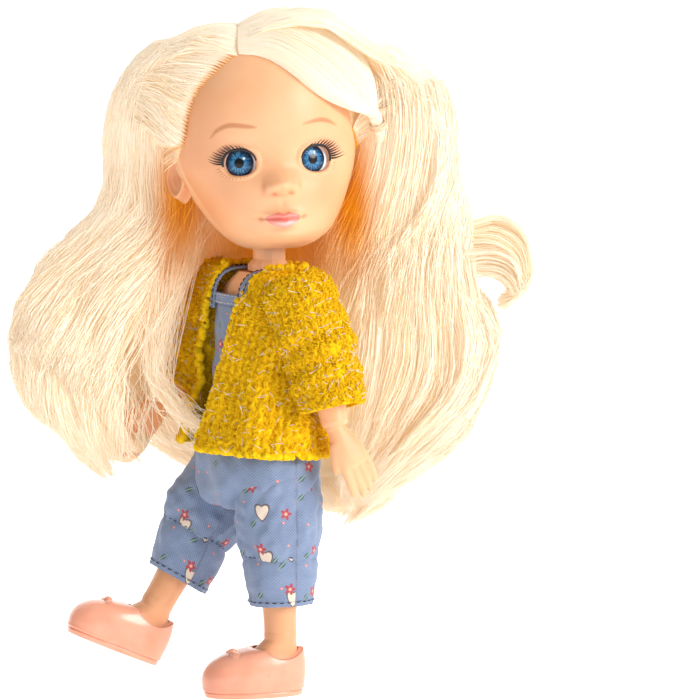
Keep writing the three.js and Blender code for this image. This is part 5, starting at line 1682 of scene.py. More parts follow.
    def strands(self, name: str, paths: Array, rng: np.random.Generator, nodes: tuple = (), deep: Array | float = 0.0,
                width: float | None = None, root: float = 0.0) -> None:
        """Makes pieces of fibres and sets them on the head.

        Args:
            name: The pieces' name.
            paths: Strands in the row's frame.
            rng: The random source.
            nodes: Nodes that the first piece stands for.
            deep: How much more painted shade each strand takes.
            width: Half width of a fibre.
            root: How much painted shade the roots take.
        """
        if name != "hair_strays":
            seen = ~self.over_hand(placed(paths, np.linalg.inv(self.frames.hair))).any(1)
            seen |= rng.uniform(0, 1, len(paths)) < 0.06
            paths, deep = paths[seen], np.broadcast_to(deep, seen.shape)[seen]
        count, steps = paths.shape[:2]
        share = np.linspace(0, 1, steps)
        taper = np.minimum(1, 0.6 + share * 6) * np.clip(1.3 - share**4, 0.25, 1)
        thick = (width or self.width) * rng.uniform(0.7, 1.35, count)
        tone = 0.42 + 0.3 * ripples(paths[:, steps // 2], 9.0, 61) + rng.normal(0, 0.13, count)
        tone = np.clip(tone, 0, 1)
        # Painted shade: strands beside and under the face, strands lying deep and the roots turn amber.
        gold = golden(placed(paths, np.linalg.inv(self.frames.hair)))
        depth = np.clip(gold + np.reshape(deep, (-1, 1)) + root * bell(share, 0.07)[None], 0, 1)
        batch = self.most // (6 * (steps - 1))
        order = rng.permutation(count)
        for k, start in enumerate(range(0, count, batch)):
            pick = order[start:start + batch]
            form = tubes(paths[pick], thick[pick, None] * taper, 3, int(rng.integers(1e6)),
                         {"tone": tone[pick], "depth": depth[pick]})
            obj = form.piece(f"{name}_{'abcdef'[k]}", self.finishes.hair)
            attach(obj, "head")
            if nodes and k == 0:
                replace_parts(obj, *nodes)

    def fall_strands(self, fall: Fall, roots: Array, over: tuple, first: Array, turn: Array,
                     share: Array, rng: np.random.Generator) -> Array:
        """Runs strands from their roots over the skull and down a fall.

        Args:
            fall: The fall that they join.
            roots: Their roots, in the head's frame.
            over: How far along the way to the fall, and how high over the skin, each guide lies.
            first: Where down the fall each joins it.
            turn: Each strand's angle in the fall.
            share: How far out each lies.
            rng: The random source.

        Returns:
            The strands in the row's frame.
        """
        count, last, levels = len(roots), len(fall.rows) - 1, 8
        lock = np.floor(np.mod(turn, 2 * math.pi) / (2 * math.pi) * 16).astype(int)
        stops = last - rng.uniform(0.0, self.ends, 17)[lock] * 0.7 - np.minimum(rng.exponential(0.32, count), 1.6)
        aim = (lock + 0.5) / 16 * 2 * math.pi
        aim = aim + np.round((turn - aim) / (2 * math.pi)) * 2 * math.pi
        deep = rng.uniform(0.75, 1.05, 17)[lock]
        controls = [roots]
        target = self.to_head(fall.ring(first, turn, share))
        for part, high in over:
            controls.append(self.skull.over(roots, target, part, high * (0.55 + 0.6 * share)))
        for k in range(levels):
            part = k / (levels - 1)
            at = first + (stops - first) * part
            pull = 0.4 * part**1.4
            inward = share + (deep - share) * pull * 0.8
            controls.append(self.to_head(fall.ring(at, turn + (aim - turn) * pull, inward)))
        return placed(spline(np.stack(controls, 1), self.samples), self.frames.head)

    def side_fall(self, side: Side) -> None:
        """The hair of one side, from the parting and the hairline.

        Args:
            side: The doll's side.
        """
        hair, name = self.sides[side], side.word
        rng = np.random.default_rng(hair.seed)
        n = self.top_count
        share = 0.7 + 0.33 * np.sqrt(rng.uniform(0, 1, n))
        u = rng.uniform(*hair.parted, n)
        roots = self.rooted(self.head_line(self.parting, u) + rng.normal(0, 0.16, (n, 3)))
        start, sweep, spread = hair.top_turn
        turn = math.radians(start) + u * math.radians(sweep) + rng.normal(0, spread, n)
        paths = self.fall_strands(hair.fall, roots, hair.top_over, rng.uniform(0.45, 1.0, n), turn, share, rng)
        paths = self.waved(paths, rng, turn, "top")
        # Strands lying further in take more painted shade.
        self.strands(f"hair_top_{name}", paths, rng, (f"hair_fall_{name}",), 0.12 * (1 - share))
        n = self.plug_count
        u = (rng.integers(0, self.plugs, n) + 0.5) / self.plugs * 0.97
        u = hair.plug_from + (1 - hair.plug_from) * u
        roots = self.rooted(self.head_line(hair.hairline, u) + rng.normal(0, 0.07, (n, 3)), 0.0)
        start, sweep, spread, middle = hair.plug_turn
        turn = math.radians(start) + (u - middle) * math.radians(sweep) + rng.normal(0, spread, n)
        share = rng.uniform(0.72, 1.03, n)
        first = 0.9 + 1.5 * u + rng.normal(0, 0.12, n)
        paths = self.fall_strands(hair.fall, roots, hair.plug_over, first, turn, share, rng)
        paths = self.waved(paths, rng, turn, "plugs")
        # Strands lying further in, and the roots, take more painted shade.
        self.strands(f"hair_plugs_{name}", paths, rng, (), 0.1 * (1 - share), root=0.75)
        n = self.inner_count
        share, turn = rng.uniform(0.8, 1.03, n), rng.uniform(0, 2 * math.pi, n)
        s = side.value
        ways = np.stack([s * rng.uniform(0.5, 1, n), rng.uniform(-0.05, 0.9, n), rng.uniform(0.1, 0.9, n)], -1)
        first = rng.uniform(0.9, 1.6, n)
        paths = self.fall_strands(hair.fall, self.skull.reach(ways, 0.1), ((0.4, 2.4),), first, turn, share, rng)
        paths = self.waved(paths, rng, turn, "inner")
        self.strands(f"hair_inner_{name}", paths, rng)

    def back_fall(self) -> None:
        """The hair of the crown and the back, with the nape's hair in front of it."""
        rng = np.random.default_rng(21)
        n = self.back_count
        around, high = rng.uniform(-0.35, math.pi + 0.35, n), rng.uniform(-0.1, 0.97, n)
        ways = np.stack([np.cos(around) * np.sqrt(1 - high**2), np.sin(around) * np.sqrt(1 - high**2) + 0.12, high], -1)
        share = 0.78 + 0.26 * np.sqrt(rng.uniform(0, 1, n))
        turn = np.arctan2(ways[:, 1] * 2 + 0.35, ways[:, 0] * 1.6) + rng.normal(0, 0.2, n)
        paths = self.fall_strands(self.back, self.skull.reach(ways, 0.1), ((0.35, 2.6), (0.72, 3.6)),
                                  rng.uniform(0.0, 0.5, n), turn, share, rng)
        self.strands("hair_back", self.waved(paths, rng, turn, "back"), rng, ("hair_fall_back",))
        n = self.nape_count
        turn = rng.uniform(math.pi * 0.95, math.pi * 2.05, n)
        share = rng.uniform(0.85, 1.04, n)
        ways = np.stack([np.cos(turn), np.full(n, 1.0) + 0.25 * rng.uniform(-1, 1, n), rng.uniform(-0.55, -0.2, n)], -1)
        paths = self.fall_strands(self.back, self.skull.reach(ways, -0.3), (), rng.uniform(0.15, 0.5, n), turn, share,
                                  rng)
        self.strands("hair_nape", self.waved(paths, rng, turn, "nape"), rng)

    def fringe(self) -> None:
        """The fringe, swept from the parting across the forehead into the small tie, and its lock."""
        rng = np.random.default_rng(31)
        n = self.fringe_count
        lower, middle, upper = (np.array(guide, float) for guide in self.fringe_guides)
        w, deep = rng.uniform(0, 1, n) ** 0.9, rng.uniform(0, 1, n)
        a, b, c = 2 * (w - 0.5) * (w - 1), 4 * w * (1 - w), 2 * w * (w - 0.5)
        body = a[:, None, None] * lower + b[:, None, None] * middle + c[:, None, None] * upper
        bow = np.sin(np.linspace(0, math.pi, 7))[None, :, None]
        out = unit(body - self.skull.centre)
        body = body + out * (bow * (1.3 - 2.2 * deep[:, None, None]) + 0.3 * (1 - deep[:, None, None]))
        angle, radius = rng.uniform(0, 2 * math.pi, n), np.sqrt(rng.uniform(0, 1, n))
        tail = []
        for k, (x, y, z, r) in enumerate(self.lock):
            r = r * (0.62 if k < 2 else 1.0)
            tail.append(np.stack([x + r * radius * np.cos(angle), y + r * radius * np.sin(angle),
                                  np.full(n, z) + r * 0.4 * radius * np.cos(angle)], -1))
        paths = placed(spline(np.concatenate([body, np.stack(tail, 1)], 1), 34), self.frames.head)
        paths = self.waved(paths, rng, angle, "fringe")
        # Strands lying deeper in the sweep take more painted shade.
        self.strands("hair_fringe_sweep", paths, rng, ("hair_fringe", "hair_lock_left"), 0.3 * deep - 0.15, 0.1)

    def curl_flip(self) -> None:
        """The lock that sweeps out and curls over at the doll's left."""
        rng = np.random.default_rng(41)
        n = self.curl_count
        top, low = (np.array(guide, float) for guide in self.curl_guides)
        v = rng.uniform(0, 1, n)
        shape = top[None] * (1 - v[:, None, None]) + low[None] * v[:, None, None]
        swell = np.linspace(0.5, 1.0, len(top))[None, :, None]
        shape = shape + rng.normal(0, 1.0, (n, 1, 3)) * np.array([0.35, 2.0, 0.5]) * swell
        shape[:, -1] += rng.normal(0, 0.8, (n, 3))
        paths = placed(spline(shape, 24), self.frames.hair)
        self.strands("hair_curl_flip", self.waved(paths, rng, v * 6.2, "curl"), rng, ("hair_curl_left",))

    def strays(self) -> None:
        """Loose strands that cross the right arm and the romper."""
        rng = np.random.default_rng(51)
        n = self.stray_count
        start = self.sides[Side.RIGHT].fall.ring(rng.uniform(3.6, 5.4, n), np.radians(rng.uniform(285, 350, n)), 1.0)
        v = rng.uniform(0, 1, n)
        middle = np.stack([-27 + 5 * v, np.full(n, -1.0), -26 - 8 * v], -1) + rng.normal(0, 1.2, (n, 3))
        low = np.stack([-21 + 4 * v, np.full(n, -2.0) - v * 2, -36 - 4 * v], -1) + rng.normal(0, 1.3, (n, 3))
        end = np.stack([-17 + 7 * v, np.full(n, -3.5) - v * 3, -41 - 3 * v], -1) + rng.normal(0, 1.8, (n, 3))
        paths = placed(spline(np.stack([start, middle, low, end], 1), 20), self.frames.hair)
        self.strands("hair_strays", paths, rng, width=self.stray_width)

    def cores(self) -> None:
        """The packed fibre under the strands: a cap and three falls."""
        forms = [self.sides[side].fall.core(0.8, 0.5) for side in (Side.RIGHT, Side.LEFT)]
        forms.append(self.back.core(0.86, 0.1))
        x, y, z = forms[0].points.T
        dent = np.clip((x + 35) / 3, 0, 1) * np.clip((-24 - z) / 3, 0, 1) * np.clip((z + 47) / 4, 0, 1)
        forms[0].points[:, 1] += dent * np.maximum(12.5 - y, 0) * 0.92
        forms = [form.moved(self.frames.hair) for form in forms]
        z, t = np.meshgrid(np.linspace(7, 48.7, 100), np.linspace(0, 2 * math.pi, 160, endpoint=False), indexing="ij")
        base = self.skull.ring(z, t)
        line = np.interp(base[..., 0], [-25, -20.2, -17.5, -12.2, -7.3, -2.3, 5.1, 10, 17, 20.3, 25],
                         [10, 16, 29.2, 37.6, 41.3, 41, 36, 33, 27, 17, 10])
        past = np.clip(np.maximum((z - line - 1.0) / 1.6, (base[..., 1] - 2) / 4), 0, 1)
        inside = np.clip(np.maximum((z - line - 6) / 8, (base[..., 1] - 4) / 8), 0, 1)
        growth = -6.0 + (6.12 + 0.9 * inside) * past * np.clip((z - 9) / 4, 0, 1)
        lie = np.stack([t * 20, -z, np.zeros_like(z)], -1)
        points = self.skull.ring(z, t, growth)
        # Painted shade: a little all over, and amber along the hairline on the doll's right side.
        depth = 0.1 + 0.7 * bell(z - line, 3.0) * (base[..., 0] < 0)
        cap = Form.grid(points, values={"lie": lie, "depth": depth}, caps=True).moved(self.frames.head)
        obj = cap.piece("hair_cap_under", self.finishes.under)
        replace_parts(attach(obj, "head"), "hair_cap")
        obj = Form.joined(forms).piece("hair_core", self.finishes.under)
        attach(obj, "head")

    def tie(self) -> None:
        """The small clear elastic, wound three times round the lock, with its loop end."""
        lock = np.array(self.lock)[:, :3]
        middle = lock[0] * 0.4 + lock[1] * 0.6
        way = unit(lock[1] - lock[0])
        side = unit(np.cross(way, [0, 0, 1]))
        up = np.cross(side, way)
        turn = np.linspace(0, 2 * math.pi * self.tie_turns, 150)
        radius = self.tie_radius + 0.1 * np.sin(turn * 1.7)
        line = (middle + way * ((turn / (2 * math.pi) - self.tie_turns / 2) * 0.55)[:, None]
                + (side * np.cos(turn)[:, None] + up * np.sin(turn)[:, None]) * radius[:, None])
        wound = tubes(line[None], np.full((1, 150), self.tie_thick), 8, 7)
        t = np.linspace(0, 2 * math.pi, 40)
        loop = (middle + np.array([-1.2, -1.6, -2.6]) + side * (np.sin(t) * 0.75)[:, None]
                + np.array([0, 0, 1.0]) * (np.cos(t) * 1.5)[:, None])
        end = tubes(loop[None], np.full((1, 40), 0.2), 8, 8)
        obj = Form.joined([wound, end]).moved(self.frames.head).piece("hair_elastic", self.finishes.elastic)
        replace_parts(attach(obj, "head"), "hair_tie")

    def build(self) -> None:
        """Makes all the hair."""
        self.cores()
        self.side_fall(Side.RIGHT)
        self.side_fall(Side.LEFT)
        self.back_fall()
        self.fringe()
        self.curl_flip()
        self.strays()
        self.tie()


@dataclass
class Cloth:
    """A grid of a garment's outer face, with its flat places."""

    points: Array
    closed: bool
    flat: Array
    lining: Array | None = None
    relief: Array | None = None

    def normals(self) -> Array:
        """Outward directions at the grid's points.

        Returns:
            Directions of length one.
        """
        p = self.points
        down = np.gradient(p, axis=0)
        if self.closed:
            across = (np.roll(p, -1, 1) - np.roll(p, 1, 1)) / 2
        else:
            across = np.gradient(p, axis=1)
        return unit(np.cross(across, down))

    def raised(self, height: Array) -> "Cloth":
        """The cloth with its places moved outward by heights."""
        return Cloth(self.points + self.normals() * height[..., None], self.closed, self.flat)

    def shell(self, thick: float, values: dict[str, Array]) -> Form:
        """A thick cloth with rounded rims.

        Args:
            thick: The cloth's thickness.
            values: Values at the grid's points.

        Returns:
            The closed form.
        """
        back = self.points - self.normals() * thick if self.lining is None else self.lining
        rows, columns = self.points.shape[:2]
        front_at = np.arange(rows * columns).reshape(rows, columns)
        back_at = front_at + rows * columns
        made = Form.grid(self.points, self.closed)
        inner = Form.grid(back, self.closed)
        faces = [made.faces[0], inner.faces[0][:, ::-1] + rows * columns]
        for i, flip in ((0, False), (rows - 1, True)):
            a, b = front_at[i], back_at[i]
            na, nb = (np.roll(a, -1), np.roll(b, -1)) if self.closed else (a[1:], b[1:])
            oa, ob = (a, b) if self.closed else (a[:-1], b[:-1])
            rim = np.stack([ob, nb, na, oa], -1)
            faces.append(rim[:, ::-1] if flip else rim)
        if not self.closed:
            for j, flip in ((0, True), (columns - 1, False)):
                a, b = front_at[:, j], back_at[:, j]
                rim = np.stack([b[:-1], b[1:], a[1:], a[:-1]], -1)
                faces.append(rim[:, ::-1] if flip else rim)
        flat = self.flat.reshape(-1, 3)
        all_values = {"cloth": np.vstack([flat, flat])}
        for key, value in values.items():
            all_values[key] = np.concatenate([value.reshape(-1), value.reshape(-1)])
        return Form(np.vstack([self.points.reshape(-1, 3), back.reshape(-1, 3)]), faces, all_values)

    def size(self) -> tuple[float, float]:
        """Width and length of the flat cloth in metres, from the middles of its rows and columns.

        Returns:
            The width and the length.
        """
        p = self.points
        ring = np.concatenate([p, p[:, :1]], 1) if self.closed else p
        width = np.linalg.norm(np.diff(ring, axis=1), axis=2).sum(1).mean()
        length = np.linalg.norm(np.diff(p, axis=0), axis=2).sum(0).mean()
        return width * MM, length * MM

    def scattered(self, count: int, rng: np.random.Generator) -> tuple[Array, Array, Array]:
        """Random places on the cloth with their outward and sideways directions.

        Args:
            count: How many.
            rng: The random source.

        Returns:
            The places, the outward and the sideways directions.
        """
        rows, columns = self.points.shape[:2]
        normal = self.normals()
        i = rng.integers(1, rows - 1, count)
        j = rng.integers(1, columns - 1, count)
        a, b = rng.uniform(0, 1, (count, 1)), rng.uniform(0, 1, (count, 1))
        here = self.points[i, j]
        right = self.points[i, (j + 1) % columns] if self.closed else self.points[i, np.minimum(j + 1, columns - 1)]
        down = self.points[np.minimum(i + 1, rows - 1), j]
        return here + (right - here) * a + (down - here) * b, normal[i, j], unit(right - here)


def flat_places(points: Array, closed: bool) -> Array:
    """The flat place of each point of a grid, from the lengths along its rows and columns.

    Args:
        points: The grid's points.
        closed: Whether the last column meets the first.

    Returns:
        Its places across and along the flat cloth, as rows of three.
    """
    ring = np.concatenate([points, points[:, :1]], 1) if closed else points
    step = np.linalg.norm(np.diff(ring, axis=1), axis=2).mean(0)
    u = np.concatenate([[0], np.cumsum(step)])[:points.shape[1]]
    v = np.concatenate([[0], np.cumsum(np.linalg.norm(np.diff(points, axis=0), axis=2).mean(1))])
    uu, vv = np.meshgrid(u, v)
    return np.stack([uu, vv, np.zeros_like(uu)], -1)


@dataclass
class Cardigan:
    """The open mustard knit cardigan with its sleeves, loops, fuzz and glitter yarn."""

    frames: Frames
    finishes: Finishes
    heights: tuple = (4.6, 12, 20, 30, 37, 41, 43.4, 44.6)
    half_widths: tuple = (20.4, 18.8, 17.2, 16.6, 16.2, 14.8, 12.4, 9.8)
    half_depths: tuple = (16, 14.6, 13.2, 12.4, 11.8, 10.8, 9.8, 8.9)
    gap_low: tuple = (-11.5, -0.8)
    gap_high: tuple = (-6.5, 8.5)
    thick: float = 1.1
    drops: tuple = (-6.2, -5.1, -2.6, 1.5, 8, 15.5, 20.5, 25.4)
    radii: tuple = (2.4, 4.9, 7.1, 8, 8.2, 8, 7.6, 7.3)
    upper: float = 15.5
    elbow_blend: tuple = (4.0, -5.0)
    bends: dict = field(default_factory=lambda: {Side.LEFT: -8.6, Side.RIGHT: -14.0})
    body_loops: int = 7600
    sleeve_loops: int = 5200
    hem_radius: float = 0.85
    neck_radius: float = 0.8

    def body_cloth(self) -> Cloth:
        """The body's outer face, from one front edge round the back to the other.

        Returns:
            The cloth, in the torso's frame.
        """
        rows, columns = 150, 330
        z = np.linspace(self.heights[0], self.heights[-1] + 0.6, rows)
        share = (z - z[0]) / (z[-1] - z[0])
        half = along(self.heights, self.half_widths, z)
        deep = along(self.heights, self.half_depths, z)
        low = self.gap_low[0] + (self.gap_high[0] - self.gap_low[0]) * share
        high = self.gap_low[1] + (self.gap_high[1] - self.gap_low[1]) * share
        start = 2 * math.pi - np.arccos(np.clip(np.sign(high) * (np.abs(high) / half) ** 1.1, -1, 1))
        stop = 4 * math.pi - np.arccos(np.clip(np.sign(low) * (np.abs(low) / half) ** 1.1, -1, 1))
        turn = start[:, None] + (stop - start)[:, None] * np.linspace(0, 1, columns)
        x, y = oval(0, 0, half[:, None], deep[:, None], turn)
        points = np.stack([x, y, np.broadcast_to(z[:, None], x.shape)], -1)
        cloth = Cloth(points, False, flat_places(points, False))
        side = np.linspace(0, 1, columns)[None]
        edge = np.minimum(side, 1 - side)
        fold = 0.55 * np.sin(side * 46 + 1.6 * np.sin(share[:, None] * 5)) * (1 - share[:, None]) ** 0.7
        fold = fold + 0.4 * ripples(points, 9.0, 61)
        fold = fold - 0.5 * bell(edge, 0.012)
        cloth = cloth.raised(fold)
        return self.knitted(cloth, 62)

    def knitted(self, cloth: Cloth, seed: int) -> Cloth:
        """Adds the soft ridges and small loops of the knit.

        Args:
            cloth: The plain cloth.
            seed: Picks its loops.

        Returns:
            The knitted cloth.
        """
        p = cloth.points
        ridge = 0.16 * np.sin(cloth.flat[..., 0] * 2 * math.pi / 1.9 + 0.8 * ripples(p, 6, seed))
        loops = 0.2 * ripples(p, 1.05, seed + 1, 16) + 0.12 * ripples(p, 0.6, seed + 2, 16)
        made = cloth.raised(ridge + loops)
        made.lining, made.relief = cloth.points - cloth.normals() * self.thick, ridge + loops
        return made

    def knit(self, name: str, cloth: Cloth, matrix: Array) -> bpy.types.Object:
        """Makes the sheet itself, whose deep places are darker with painted shade.

        Args:
            name: Start of the piece's name.
            cloth: The cloth in its own frame.
            matrix: The frame's matrix.

        Returns:
            The sheet.
        """
        # How much painted shade each place takes: more where the knit's relief is low.
        deep = 0.5 - cloth.relief / 0.9
        return cloth.shell(self.thick, {"deep": deep}).moved(matrix).piece(f"{name}_knit", self.finishes.knit)

    def sleeve_cloth(self, side: Side) -> Cloth:
        """A sleeve's outer face in the upper arm's frame.

        Args:
            side: The arm.

        Returns:
            The cloth, from the wrist up.
        """
        rows, columns = 120, 150
        drop = np.linspace(self.drops[1], self.drops[-1] + 0.4, rows)
        radius = along(self.drops, self.radii, drop)
        bend = math.radians(self.bends[side])
        past = np.maximum(drop - self.upper, 0)
        y = math.sin(bend) * past
        z = -np.minimum(drop, self.upper) - math.cos(bend) * past
        lean = bend * np.clip((drop - self.upper + 2) / 4, 0, 1)
        turn = np.linspace(0, 2 * math.pi, columns, endpoint=False)
        share = (drop - drop[0]) / (drop[-1] - drop[0])
        crease = 0.5 * np.sin(drop[:, None] * 1.05 + 1.3 * np.sin(turn[None] + side.value))
        crease = crease * bell(drop - 14, 9)[:, None] + 0.25 * np.sin(drop[:, None] * 0.55 + 2 * turn[None])
        r = radius[:, None] + crease - 0.25 * bell(share - 1, 0.05)[:, None]
        x = np.cos(turn) * r
        across = np.sin(turn) * r
        y, z, lean = y[:, None], z[:, None], lean[:, None]
        points = np.stack([x, y + across * np.cos(lean), z + across * np.sin(lean)], -1)[::-1]
        cloth = Cloth(points, True, flat_places(points, True))
        return self.knitted(cloth, 70 + side.value)

    def pile(self, name: str, cloth: Cloth, count: int, matrix: Array, rng: np.random.Generator) -> list:
        """The loops, fuzz and glitter that stand on the cloth.

        Args:
            name: Start of the pieces' names.
            cloth: The cloth in its own frame.
            count: How many loops.
            matrix: The frame's matrix.
            rng: The random source.

        Returns:
            The pieces.
        """
        at, out, side = cloth.scattered(count, rng)
        angle = rng.uniform(0, 2 * math.pi, (count, 1))
        lie = unit(side * np.cos(angle) + np.cross(out, side) * np.sin(angle))
        t = np.linspace(0, math.pi, 5)[None, :, None]
        size = rng.uniform(0.28, 0.58, (count, 1, 1))
        sway = rng.normal(0, 0.12, (count, 1, 3)) * np.sin(t)
        arc = at[:, None] + lie[:, None] * np.cos(t) * size + out[:, None] * (np.sin(t) * size * 0.85 - 0.06) + sway
        loops = tubes(arc, np.full((count, 5), 0.125) * rng.uniform(0.8, 1.25, (count, 1)), 3, 9,
                      {"deep": np.clip(rng.normal(0.1, 0.12, count), 0, 1)})
        pieces = [loops.moved(matrix).piece(f"{name}_loops", self.finishes.knit)]
        count //= 3
        at, out, side = cloth.scattered(count, rng)
        way = unit(out * 0.7 + rng.normal(0, 0.6, (count, 3)))
        steps = np.linspace(0, 1, 4)[None, :, None]
        curl = rng.normal(0, 0.35, (count, 1, 3)) * steps**2
        fibre = at[:, None] + way[:, None] * steps * rng.uniform(0.5, 1.25, (count, 1, 1)) + curl
        fuzz = tubes(fibre, 0.035 * (1.1 - steps[..., 0]) + np.zeros((count, 4)), 3, 10, {"deep": np.zeros(count)})
        pieces.append(fuzz.moved(matrix).piece(f"{name}_fuzz", self.finishes.knit))
        count = count // 5
        at, out, side = cloth.scattered(count, rng)
        angle = rng.normal(0, 0.6, (count, 1))
        lie = unit(side * np.cos(angle) + np.cross(out, side) * np.sin(angle))
        steps = np.linspace(-0.5, 0.5, 4)[None, :, None]
        foil = at[:, None] + out[:, None] * 0.5 + lie[:, None] * steps * rng.uniform(0.8, 2.6, (count, 1, 1))
        glint = tubes(foil, np.full((count, 4), 0.06), 3, 11)
        pieces.append(glint.moved(matrix).piece(f"{name}_glitter", self.finishes.lurex))
        return pieces

    def hem(self, line: Array, radius: float, seed: int) -> Form:
        """A rolled edge along a line.

        Args:
            line: The line.
            radius: Half its thickness.
            seed: Picks its wobble.

        Returns:
            The edge.
        """
        wobble = ripples(line, 2.4, seed)[:, None] * 0.16
        line = line + wobble
        thick = radius * (1 + 0.16 * ripples(line, 1.3, seed + 1))
        return tubes(line[None], thick[None], 9, 12, {"deep": np.full(1, 0.15)})

    def build(self) -> None:
        """Makes the cardigan, sets its body on the torso, and bakes its sleeves in place on the arms."""
        rng = np.random.default_rng(77)
        cloth = self.body_cloth()
        base = self.knit("cardigan", cloth, self.frames.pelvis)
        pieces = self.pile("cardigan", cloth, self.body_loops, self.frames.pelvis, rng)
        mid = cloth.points - cloth.normals() * self.thick * 0.45
        hems = [self.hem(mid[0], self.hem_radius, 81), self.hem(mid[-1], self.neck_radius, 82),
                self.hem(mid[:, 0], self.hem_radius, 83), self.hem(mid[:, -1], self.hem_radius, 84)]
        pieces.append(Form.joined(hems).moved(self.frames.pelvis).piece("cardigan_edges", self.finishes.knit))
        self.attach(base, pieces, cloth, "torso", None, "cardigan_body")
        for side in Side:
            cloth = self.sleeve_cloth(side)
            matrix = self.frames.upper[side]
            name = f"sleeve_{side.word}"
            base = self.knit(name, cloth, matrix)
            pieces = self.pile(name, cloth, self.sleeve_loops, matrix, rng)
            mid = cloth.points - cloth.normals() * self.thick * 0.45
            ring = np.vstack([mid[0], mid[0, :1]])
            hem = self.hem(ring, self.hem_radius, 90 + side.value).moved(matrix)
            pieces.append(hem.piece(f"{name}_hem", self.finishes.knit))
            self.attach(base, pieces, cloth, f"upper_arm_{side.word}", side, f"cardigan_sleeve_{side.word}")

    def attach(self, base: bpy.types.Object, pieces: list, cloth: Cloth, body: str, side: Side | None,
               node: str) -> None:
        """Sets a garment part and the pieces on it on their body, or for a sleeve bakes their places into their meshes,
        and works out its flat size without keeping it.

        Args:
            base: The sheet.
            pieces: What stands on it.
            cloth: Its grid.
            body: The body that carries it.
            side: The arm, where it is a sleeve.
            node: The node that it stands for.
        """
        for obj in [base, *pieces]:
            if side is None:
                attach(obj, body)
            else:
                m = self.frames.upper[side]
                start, end = (placed(np.array([0, 0, z - self.upper]), m) * MM for z in self.elbow_blend)
                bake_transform(obj)
        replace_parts(base, node)
        cloth.size()


